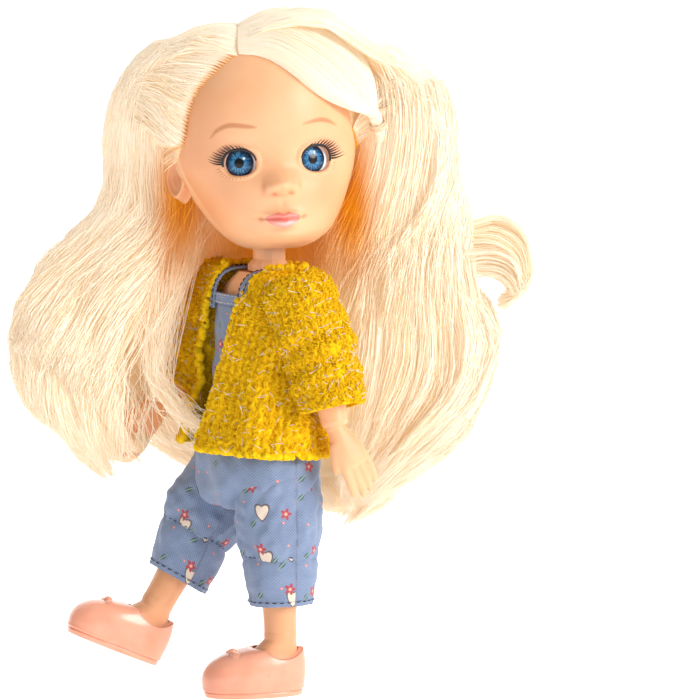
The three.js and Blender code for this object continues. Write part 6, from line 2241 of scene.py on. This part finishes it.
@dataclass
class Romper:
    """The printed cotton romper with its bands, legs, cuffs and stitches."""

    frames: Frames
    finishes: Finishes
    heights: tuple = (-3.6, 0, 5, 11, 17, 26, 33, 38.6)
    half_widths: tuple = (18.4, 18.4, 17, 14.4, 12.6, 12.4, 12.8, 12.6)
    half_depths: tuple = (12.4, 12.4, 11.8, 10.6, 9.8, 9.8, 9.8, 9.2)
    leg_drops: tuple = (-2, 3, 7, 12, 16, 19.2, 20.6)
    leg_widths: tuple = (8.2, 8.5, 8.6, 8.6, 8.3, 7.4, 6.6)
    leg_depths: tuple = (8.6, 9.2, 9.6, 9.6, 9.2, 8.2, 7.4)
    cuff_drops: tuple = (-1.2, 0.4, 2.4, 6, 9.6, 11.6)
    cuff_widths: tuple = (6.2, 7.2, 7.7, 7.5, 7, 6.6)
    cuff_depths: tuple = (7, 8, 8.5, 8.3, 7.7, 7.3)
    shift: float = 0.7
    hang: dict = field(default_factory=lambda: {Side.LEFT: 0.0, Side.RIGHT: 0.14})
    strap_apart: float = 13.6
    strap_half: float = 1.5
    crown: float = 43.9
    strap_foot: float = 35.4
    strap_deep: float = 9.6
    band_half: float = 1.25
    band_drop: float = 1.1
    cloth_thick: float = 0.6
    seat_heights: tuple = (-9.5, -8.2, -5.8, -3.6)
    seat_widths: tuple = (3.2, 9, 15.6, 18.0)
    seat_depths: tuple = (8.5, 10.4, 11.8, 12.3)
    knee_blend: tuple = (5.0, -3.5)

    def tube_cloth(self, drops: tuple, widths: tuple, depths: tuple, side: Side, hang: float, rows: int,
                   crease: float, seed: int) -> Cloth:
        """A trouser leg's or cuff's outer face in its limb's frame.

        Args:
            drops: Rising distances down the limb.
            widths: Half widths there.
            depths: Half depths there.
            side: The leg.
            hang: How far it hangs back.
            rows: Rows of the grid.
            crease: Height of its folds.
            seed: Picks its folds.

        Returns:
            The cloth, from its lower end up.
        """
        drop = np.linspace(drops[0], drops[-1], rows)
        turn = np.linspace(0, 2 * math.pi, 150, endpoint=False)
        x, y = oval(side.value * self.shift, hang * drop[:, None], along(drops, widths, drop)[:, None],
                    along(drops, depths, drop)[:, None], turn, 2.1)
        points = np.stack([x, y, np.broadcast_to(-drop[:, None], x.shape)], -1)[::-1]
        cloth = Cloth(points, True, flat_places(points, True))
        fold = crease * ripples(points * np.array([1, 1, 0.55]), 7.5, seed)
        return cloth.raised(fold + crease * 0.5 * ripples(points, 3.4, seed + 1))

    def bodice_cloth(self) -> Cloth:
        """The bodice and seat, from the crotch to the neckline.

        Returns:
            The cloth, in the torso's frame.
        """
        rows, columns = 120, 240
        heights = self.seat_heights + self.heights[1:]
        widths = self.seat_widths + self.half_widths[1:]
        depths = self.seat_depths + self.half_depths[1:]
        z = np.concatenate([np.linspace(heights[0], -3, 24)[:-1], np.linspace(-3, self.heights[-1], rows - 23)])
        turn = np.linspace(0, 2 * math.pi, columns, endpoint=False)
        x, y = oval(0, 0, along(heights, widths, z)[:, None], along(heights, depths, z)[:, None], turn)
        points = np.stack([x, y, np.broadcast_to(z[:, None], x.shape)], -1)
        cloth = Cloth(points, True, flat_places(points, True))
        low = np.clip((12 - z) / 16, 0, 1)[:, None]
        fold = (0.25 + 0.45 * low) * ripples(points * np.array([1, 1, 0.8]), 8.5, 101) + 0.2 * ripples(points, 4.0, 102)
        return cloth.raised(fold)

    def band(self, line: Array, out: Array, half: float, thick: float) -> Form:
        """A flat band along a line, with its flat places.

        Args:
            line: Its middle line.
            out: Outward directions along it.
            half: Half its width.
            thick: Its thickness.

        Returns:
            The band.
        """
        way = unit(np.gradient(line, axis=0))
        wide = unit(np.cross(way, out))
        turn = np.arange(14) * 2 * math.pi / 14
        a, b = oval(0, 0, half, thick / 2, turn, 5)
        points = line[:, None] + wide[:, None] * a[None, :, None] + out[:, None] * b[None, :, None]
        far = np.concatenate([[0], np.cumsum(np.linalg.norm(np.diff(line, axis=0), axis=1))])
        flat = np.stack([np.broadcast_to(far[:, None], points.shape[:2]), np.broadcast_to(a[None], points.shape[:2]),
                         np.zeros(points.shape[:2])], -1)
        return Form.grid(points, values={"cloth": flat, "seam": np.zeros(points.shape[:2])})

    def stitches(self, line: Array, out: Array, length: float, gap: float, radius: float = 0.11) -> Form:
        """A row of stitches along a line.

        Args:
            line: The line.
            out: Outward directions along it.
            length: Length of a stitch.
            gap: Space between stitches.
            radius: Half the thread's thickness.

        Returns:
            The stitches.
        """
        far = np.concatenate([[0], np.cumsum(np.linalg.norm(np.diff(line, axis=0), axis=1))])
        starts = np.arange(0, far[-1] - length, length + gap)
        t = np.linspace(0, 1, 5)
        at = starts[:, None] + t[None] * length
        path = np.stack([np.interp(at, far, line[:, k]) for k in range(3)], -1)
        rise = np.stack([np.interp(at, far, out[:, k]) for k in range(3)], -1)
        path = path + rise * (radius * 1.1 * np.sin(t * math.pi))[None, :, None]
        thick = radius * (0.6 + 0.4 * np.sin(t * math.pi))[None] + np.zeros((len(starts), 1))
        return tubes(path, thick, 5, 13)

    def build(self) -> None:
        """Makes the romper, sets its bodice and straps on the torso, and bakes its legs in place."""
        pelvis = self.frames.pelvis
        cloth = self.bodice_cloth()
        z = cloth.points[..., 2]
        seam = bell(z - self.heights[-1] + 2.6, 0.16)
        body = cloth.shell(self.cloth_thick, {"seam": seam}).moved(pelvis).piece("romper_bodice", self.finishes.denim)
        normal = cloth.normals()
        top = cloth.points[-1] + normal[-1] * 0.2
        ring, out = np.vstack([top, top[:1]]), np.vstack([normal[-1], normal[-1, :1]])
        level = ring - np.array([0, 0, self.band_drop])
        neckband = self.band(level, out * np.array([1, 1, 0]), self.band_half, 0.75).moved(pelvis)
        band = neckband.piece("romper_neckband", self.finishes.plain)
        rows = [self.stitches(level + np.array([0, 0, d]) + out * 0.42, out, 0.85, 0.5) for d in (0.85, -0.9)]
        top_stitch = Form.joined(rows).moved(pelvis).piece("romper_topstitch", self.finishes.light_thread)
        parts = [band, top_stitch]
        for obj in [body, *parts]:
            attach(obj, "torso")
        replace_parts(body, "romper_body")
        cloth.size()
        for side in Side:
            self.strap(side)
            self.leg(side)

    def strap(self, side: Side) -> None:
        """A shoulder strap with a dark stitched edge.

        Args:
            side: The strap's side.
        """
        x = side.value * self.strap_apart / 2
        t = np.linspace(-0.1, math.pi + 0.1, 60)
        c, s = np.cos(t), np.clip(np.sin(t), 0, 1)
        y = -np.sign(c) * np.abs(c) ** 0.6 * self.strap_deep
        z = self.strap_foot + s**0.6 * (self.crown + 0.4 - self.strap_foot)
        line = np.stack([np.full(60, x), y, z], -1)
        way = unit(np.gradient(line, axis=0))
        out = unit(np.cross(way, np.array([1.0, 0, 0])))
        out *= np.sign((out * (line - np.array([x, 0, 32]))).sum(1, keepdims=True))
        band = self.band(line, out, self.strap_half, 0.7).moved(self.frames.pelvis)
        obj = band.piece(f"romper_strap_band_{side.word}", self.finishes.plain)
        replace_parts(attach(obj, "torso"), f"romper_strap_{side.word}")
        edges = [self.stitches(line + np.array([d, 0, 0]) + out * 0.4, out, 0.9, 0.35, 0.13) for d in (-1.1, 1.1)]
        thread = Form.joined(edges).moved(self.frames.pelvis)
        thread = thread.piece(f"strap_stitch_{side.word}", self.finishes.dark_thread)
        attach(thread, "torso")

    def bent(self, obj: bpy.types.Object, side: Side) -> bpy.types.Object:
        """Bakes a piece of a trouser leg's place into its mesh.

        Args:
            obj: The piece.
            side: The leg.

        Returns:
            The piece.
        """
        start, end = (placed(np.array([0, 0, z]), self.frames.shin[side]) * MM for z in self.knee_blend)
        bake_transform(obj)
        return obj

    def leg(self, side: Side) -> None:
        """A puffed leg and its cuff, with the seam between them.

        Args:
            side: The leg.
        """
        w = side.word
        thigh, shin = self.frames.thigh[side], self.frames.shin[side]
        cloth = self.tube_cloth(self.leg_drops, self.leg_widths, self.leg_depths, side, 0.0, 90, 0.42, 110 + side.value)
        z = cloth.points[..., 2]
        seam = bell(z + self.leg_drops[-1] - 0.5, 0.3)
        leg = cloth.shell(self.cloth_thick, {"seam": seam}).moved(thigh).piece(f"romper_puff_{w}", self.finishes.denim)
        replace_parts(self.bent(leg, side), f"romper_leg_{w}")
        cuff_cloth = self.tube_cloth(self.cuff_drops, self.cuff_widths, self.cuff_depths, side, self.hang[side], 60,
                                     0.3, 120 + side.value)
        z = cuff_cloth.points[..., 2]
        seam = bell(z + self.cuff_drops[-1] - 1.2, 0.14)
        cuff = cuff_cloth.shell(self.cloth_thick, {"seam": seam}).moved(shin)
        cuff = cuff.piece(f"romper_turnup_{w}", self.finishes.denim)
        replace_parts(self.bent(cuff, side), f"romper_cuff_{w}")
        normal = cuff_cloth.normals()
        rows = []
        for at in (-9, 5):
            ring = np.vstack([cuff_cloth.points[at], cuff_cloth.points[at, :1]])
            out = np.vstack([normal[at], normal[at, :1]])
            rows.append(self.stitches(ring + out * 0.1, out, 1.0, 0.7, 0.12))
        thread = Form.joined(rows).moved(shin).piece(f"cuff_stitch_{w}", self.finishes.dark_thread)
        self.bent(thread, side)
        cloth.size()
        cuff_cloth.size()


@dataclass
class Limbs:
    """Smooth forearms, hands and shins over the jointed body."""

    frames: Frames
    finishes: Finishes
    forearm: tuple = ((0, 3.7), (5.8, 3.77), (11.6, 3.13), (14.5, 2.9))
    shin: tuple = ((0, 4.3), (6.5, 4.2), (14.8, 3.7), (18.5, 3.62))
    hand_lean: dict = field(default_factory=lambda: {Side.LEFT: 19.0, Side.RIGHT: -6.0})
    palm: tuple = ((-9.3, 1.5, 3.7), (-8.0, 1.75, 3.85), (-5.6, 2.05, 3.75), (-2.9, 2.0, 3.0), (-0.6, 2.1, 2.2),
                   (1.2, 2.2, 2.2))
    finger: float = 8.4
    finger_shares: tuple = (0.86, 1.0, 0.95, 0.78)
    finger_gap: float = 1.95
    voxel: float = 0.3
    relaxes: int = 5

    def limb(self, rows: tuple) -> Form:
        """A round limb hanging down its frame, domed at both ends.

        Args:
            rows: Distances down it and radii there.

        Returns:
            The limb.
        """
        drops, radii = zip(*rows)
        top = [(-radii[0] * math.cos(a), radii[0] * math.sin(a)) for a in np.linspace(0.05, 1.5, 12)]
        low = [(drops[-1] - 1.0 + radii[-1] * 0.3 * math.sin(a), radii[-1] * math.cos(a) ** 0.3)
               for a in np.linspace(0.05, 1.5, 10)]
        body = [(d, float(along(drops, radii, d))) for d in np.linspace(drops[0] + 0.3, drops[-1] - 1.0, 40)]
        profile = np.array(top + body + low)[::-1]
        turn = np.linspace(0, 2 * math.pi, 64, endpoint=False)
        x, y = profile[:, 1:2] * np.cos(turn), profile[:, 1:2] * np.sin(turn)
        points = np.stack([x, y, np.broadcast_to(-profile[:, :1], x.shape)], -1)
        return Form.grid(points, caps=True)

    def hand_form(self, side: Side) -> Form:
        """Palm, fingers and thumb as overlapping tubes, for one skin.

        Args:
            side: The hand's side.

        Returns:
            The forms, in the hand's frame.
        """
        s = side.value
        palm_rows = np.array(self.palm)
        z = np.linspace(palm_rows[0, 0], palm_rows[-1, 0], 26)
        turn = np.linspace(0, 2 * math.pi, 40, endpoint=False)
        rows = along(palm_rows[:, 0], palm_rows, z)
        x, y = oval(0, 0, rows[:, 1:2], rows[:, 2:3], turn, 2.3)
        forms = [Form.grid(np.stack([x, y, np.broadcast_to(z[:, None], x.shape)], -1), caps=True)]
        for i, share in enumerate(self.finger_shares):
            t = np.linspace(-0.3, 1, 16)
            length = self.finger * share
            middle = (i - 1.5) * self.finger_gap
            path = np.stack([-s * (1.9 * np.maximum(t, 0) ** 2), middle * (1 + 0.1 * t), -8.5 - length * t], -1)
            radius = np.interp(t, [-0.3, 0.3, 0.8, 0.93, 1.0], [1.08, 1.06, 0.9, 0.72, 0.3])
            forms.append(self.round_tube(path, radius, np.array([0.0, 1, 0])))
        t = np.linspace(0, 1, 16)
        path = np.stack([-s * 1.3 * t, -1.85 - 2.7 * t**0.9, -3.4 - 5.8 * t], -1)
        radius = np.interp(t, [0, 0.45, 0.8, 0.93, 1.0], [1.7, 1.35, 1.1, 0.85, 0.35])
        forms.append(self.round_tube(path, radius, np.array([0.0, 1, 0])))
        return Form.joined(forms)

    def round_tube(self, path: Array, radius: Array, wide: Array) -> Form:
        """A smooth capped tube along a path.

        Args:
            path: Its middle line.
            radius: Radii along it.
            wide: A direction across it.

        Returns:
            The tube.
        """
        way = unit(np.gradient(path, axis=0))
        deep = unit(np.cross(way, wide))
        across = np.cross(deep, way)
        turn = np.linspace(0, 2 * math.pi, 24, endpoint=False)
        ring = across[:, None] * np.cos(turn)[None, :, None] + deep[:, None] * np.sin(turn)[None, :, None]
        return Form.grid(path[:, None] + ring * radius[:, None, None], caps=True)

    def fused(self, obj: bpy.types.Object) -> None:
        """Joins overlapping forms of an object into one smooth skin.

        Args:
            obj: The object.
        """
        remesh = obj.modifiers.new("fuse", "REMESH")
        remesh.mode, remesh.voxel_size = "VOXEL", self.voxel * MM
        remesh.use_smooth_shade = True
        relax = obj.modifiers.new("relax", "SMOOTH")
        relax.factor, relax.iterations = 0.5, self.relaxes
        bpy.context.view_layer.update()
        done = bpy.data.meshes.new_from_object(obj.evaluated_get(bpy.context.evaluated_depsgraph_get()))
        obj.modifiers.clear()
        obj.data = done

    def build(self) -> None:
        """Makes the limbs' visible skins."""
        for side in Side:
            w = side.word
            arm = self.limb(self.forearm).moved(self.frames.fore[side])
            arm = arm.piece(f"forearm_skin_{w}", self.finishes.body)
            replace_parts(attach(arm, f"forearm_{w}"), f"forearm_{w}")
            shin = self.limb(self.shin).moved(self.frames.shin[side]).piece(f"shin_skin_{w}", self.finishes.leg)
            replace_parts(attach(shin, f"shin_{w}"), f"shin_{w}")
            hand = self.hand_form(side).moved(self.frames.hand[side] @ turned("X", self.hand_lean[side]))
            hand = hand.piece(f"hand_skin_{w}", self.finishes.skin)
            self.fused(hand)
            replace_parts(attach(hand, f"hand_{w}"), f"hand_{w}")


@dataclass
class Shoes:
    """Glossy moulded slip-on shoes with a bow, a ridge and a thin sole."""

    frames: Frames
    finishes: Finishes
    heights: tuple = (0, 1.9, 4.7, 7, 8.6, 9.8, 10.6)
    fronts: tuple = (16.9, 17.6, 17.7, 16.4, 14.2, 11, 7.4)
    backs: tuple = (5.2, 5.6, 5.9, 5.9, 5.7, 5.5, 5.3)
    half_widths: tuple = (5, 5.6, 5.95, 5.7, 5.2, 4.6, 4.1)
    ankle: float = 13.4
    opening: float = 6.4
    opening_height: float = 14.8
    opening_back: float = 0.4
    wall: float = 1.1
    sole: float = 1.4
    lowest: float = 4.0

    def skin(self, z: Array, turn: Array, inset: float = 0.0) -> Array:
        """Points of the shoe's outline at heights over the sole.

        Args:
            z: Heights over the sole.
            turn: Angles round the shoe.
            inset: How far inside the outline.

        Returns:
            The points, from the ankle.
        """
        front = along(self.heights, self.fronts, z) - inset
        back = along(self.heights, self.backs, z) - inset
        half = along(self.heights, self.half_widths, z) - inset
        x, y = oval(0, (back - front) / 2, half, (back + front) / 2, turn, 2.25)
        share = (y + front) / (back + front)
        return np.stack([x * (1 - 0.16 * share), y, np.broadcast_to(z - self.ankle, x.shape)], -1)

    def build(self) -> None:
        """Makes both shoes and the feet in them."""
        for side in Side:
            w = side.word
            z = np.concatenate([np.linspace(0, 1.2, 14)[:-1], np.linspace(1.2, self.heights[-1], 78)])
            turn = np.linspace(0, 2 * math.pi, 150, endpoint=False)
            zz, tt = np.meshgrid(z, turn, indexing="ij")
            points = self.skin(zz, tt)
            y = points[..., 1] - self.opening_back
            collar = self.opening_height - self.ankle - np.sqrt(np.clip(self.opening**2 - y**2, 0, None))
            collar = np.where(np.abs(y) < self.opening, collar, 99)
            edge = np.where(zz > self.lowest, np.maximum(collar, self.lowest - self.ankle), 99)
            points[..., 2] = np.minimum(points[..., 2], edge)
            groove = bell(zz - 1.15, 0.16)
            cloth = Cloth(points, True, flat_places(points, True)).raised(-0.22 * groove + 0.12 * bell(zz - 1.7, 0.3))
            outer = cloth.points
            inner = self.skin(zz, tt, self.wall)
            inner[..., 2] = np.maximum(np.minimum(inner[..., 2], edge), self.sole - self.ankle)
            stack = np.concatenate([outer, inner[::-1]], 0)
            # The groove value also paints shade along the groove above the sole.
            form = Form.grid(stack, values={"groove": np.concatenate([groove, groove[::-1] * 0], 0)}, caps=True)
            forms = [form] + self.bow()
            shoe = Form.joined(forms).moved(self.frames.foot[side]).piece(f"shoe_shell_{w}", self.finishes.shoe)
            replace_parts(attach(shoe, f"foot_{w}"), f"shoe_{w}")
            foot = self.foot().moved(self.frames.foot[side]).piece(f"foot_skin_{w}", self.finishes.leg)
            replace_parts(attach(foot, f"foot_{w}"), f"foot_{w}")

    def bow(self) -> list[Form]:
        """The moulded bow on the toe.

        Returns:
            Its two loops and the knot.
        """
        u, v = np.meshgrid(np.linspace(0.02, math.pi - 0.02, 20), np.linspace(0, 2 * math.pi, 28, endpoint=False),
                           indexing="ij")
        forms = []
        for s in (1, -1):
            r = np.sin(u)
            x = s * (1.75 - 1.65 * np.cos(u))
            pinch = 0.5 + 0.5 * np.clip((np.abs(x) - 0.3) / 2.2, 0, 1)
            points = np.stack([x, -10.9 + np.cos(v) * r * 1.55 * pinch + 0.1 * np.abs(x),
                               -3.75 + np.sin(v) * r * 0.95 * pinch - 0.2 * np.abs(x)], -1)
            form = Form.grid(points if s < 0 else points[:, ::-1], caps=True)
            # Painted shade where the bow's loops pinch in at the knot.
            form.values = {"groove": np.append(bell(np.abs(points[..., 0]) - 0.5, 0.5).reshape(-1), [0.0, 0.0])}
            forms.append(form)
        knot = np.stack([np.cos(v) * np.sin(u) * 0.75, -11.0 + np.cos(u), -3.55 + np.sin(v) * np.sin(u) * 0.85], -1)
        form = Form.grid(knot[::-1], caps=True)
        form.values = {"groove": np.zeros(len(form.points))}
        forms.append(form)
        return forms

    def foot(self) -> Form:
        """The foot inside the shoe, up to its ankle.

        Returns:
            The foot, in the ankle's frame.
        """
        z = np.linspace(2.2, 15.0, 50)
        turn = np.linspace(0, 2 * math.pi, 72, endpoint=False)
        share = np.clip((z - 9.2) / 3.3, 0, 1) ** 0.9
        zz, tt = np.meshgrid(z, turn, indexing="ij")
        shoe = self.skin(np.minimum(zz, 10.4), tt, 1.25)
        radius = 3.6 * np.sqrt(np.clip(1 - ((zz - self.ankle) / 3.9) ** 2, 0.1, 1)) + 0.1
        radius = np.where(zz < self.ankle, np.maximum(radius, 3.55), radius)
        ankle = np.stack([np.cos(tt) * radius, np.sin(tt) * radius, zz - self.ankle], -1)
        points = shoe * (1 - share)[:, None, None] + ankle * share[:, None, None]
        points[..., 2] = zz - self.ankle
        return Form.grid(points, caps=True)


@dataclass
class Studio:
    """A pale floor, soft lights and the camera."""

    frames: Frames
    target: tuple = (-9.64, 8.64, 80.0)
    azimuth: float = 60.0
    elevation: float = 6.3
    roll: float = -1.1
    distance: float = 800.0
    right_of: float = 20.4
    above: float = -3.7
    lens: float = 183.1
    ambient: float = 0.34
    glow: float = 0.6
    floor_front: float = 6000.0
    floor_half: float = 7000.0
    bend_start: float = 1900.0
    bend_radius: float = 1500.0
    wall_height: float = 6000.0
    sensor: float = 36.0
    clip: tuple = (0.05, 20.0)

    def axes(self) -> tuple[Array, Array, Array]:
        """The camera's right, up and back directions.

        Returns:
            The three directions.
        """
        a, e, r = (math.radians(v) for v in (self.azimuth, self.elevation, self.roll))
        back = np.array([math.sin(a) * math.cos(e), -math.cos(a) * math.cos(e), math.sin(e)])
        right = np.array([math.cos(a), math.sin(a), 0.0])
        up = np.cross(back, right)
        return right * math.cos(r) - up * math.sin(r), right * math.sin(r) + up * math.cos(r), back

    def light(self, name: str, way: tuple, soft: float, power: float, colour: tuple = (1, 1, 1)) -> None:
        """Adds a broad, soft sun.

        Args:
            name: The light's name.
            way: Its direction from the doll in the camera's right, up and back.
            soft: How many degrees wide it is.
            power: Its strength.
            colour: Its colour.
        """
        right, _, back = self.axes()
        flat = unit(np.array([back[0], back[1], 0.0]))
        place = unit(right * way[0] + np.array([0, 0, 1.0]) * way[1] + flat * way[2])
        data = bpy.data.lights.new(name, "SUN")
        data.angle, data.energy, data.color = math.radians(soft), power, colour
        lamp = bpy.data.objects.new(name, data)
        lamp.location = place
        lamp.rotation_mode = "QUATERNION"
        lamp.rotation_quaternion = Vector(place).to_track_quat("Z", "Y")
        bpy.context.scene.collection.objects.link(lamp)

    def build(self) -> None:
        """Makes the floor, the lights and the camera."""
        g = Graph("floor")
        cloud = g.noise(g.place(), 120.0, 2.0)
        white = g.mix(cloud * 0.04, (0.93, 0.93, 0.93), (0.9, 0.9, 0.9))
        floor_finish = g.surface(Base_Color=white, Roughness=0.9, Emission_Color=(1.0, 1.0, 1.0, 1.0),
                                 Emission_Strength=self.glow)
        right, _, back = self.axes()
        flat = unit(np.array([back[0], back[1], 0.0]))
        bend = np.linspace(0, math.pi / 2, 16)
        far = np.concatenate([[self.floor_front, 900.0, 0.0], -self.bend_start - self.bend_radius * np.sin(bend),
                              [-self.bend_start - self.bend_radius]])
        high = np.concatenate([[0.0, 0.0, 0.0], self.bend_radius * (1 - np.cos(bend)), [self.wall_height]]) - 0.02
        wide = np.linspace(-self.floor_half, self.floor_half, 9)
        points = (flat * far[:, None, None] + np.array([0, 0, 1.0]) * high[:, None, None]
                  + unit(np.array([right[0], right[1], 0.0])) * wide[None, :, None])
        Form.grid(points, False).piece("floor", floor_finish)
        world = bpy.data.worlds.new("studio")
        world.use_nodes = True
        shade = world.node_tree.nodes["Background"]
        shade.inputs["Color"].default_value = (1, 1, 1, 1)
        shade.inputs["Strength"].default_value = self.ambient
        bpy.context.scene.world = world
        bpy.context.scene.view_settings.view_transform = "Standard"
        self.light("key", (1.0, 0.5, 0.7), 28.0, 2.35)
        self.light("top", (-0.1, 1.0, -0.25), 50.0, 0.7)
        right, up, back = self.axes()
        eye = np.array(self.target) + back * self.distance
        aim = np.array(self.target) + right * self.right_of + up * self.above
        data = bpy.data.cameras.new("camera")
        data.sensor_width, data.lens = self.sensor, self.lens
        data.clip_start, data.clip_end = self.clip
        camera = bpy.data.objects.new("camera", data)
        look = unit(eye - aim)
        side = unit(np.cross(up, look))
        tall = np.cross(look, side)
        camera.matrix_world = Matrix(self.frames.matrix(side, tall, look, eye * MM).tolist())
        bpy.context.scene.collection.objects.link(camera)
        bpy.context.scene.camera = camera


def dress_nodes(frame: dict, finishes: Finishes) -> None:
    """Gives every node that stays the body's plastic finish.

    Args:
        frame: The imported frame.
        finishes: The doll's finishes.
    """
    for name, obj in frame["nodes"].items():
        if not obj.hide_render:
            obj.data.materials.clear()
            obj.data.materials.append(finishes.body)
            LOG.info("kept %s", name)


def main() -> None:
    """Builds the doll's looks in order."""
    logging.basicConfig(level=logging.INFO, format="%(message)s")
    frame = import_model()
    frames, finishes = Frames(frame["joints"]), Finishes()
    Studio(frames).build()
    Head(frames, finishes).build()
    Hair(frames, finishes).build()
    Cardigan(frames, finishes).build()
    Romper(frames, finishes).build()
    Limbs(frames, finishes).build()
    Shoes(frames, finishes).build()
    dress_nodes(frame, finishes)


if __name__ == "__main__":
    main()
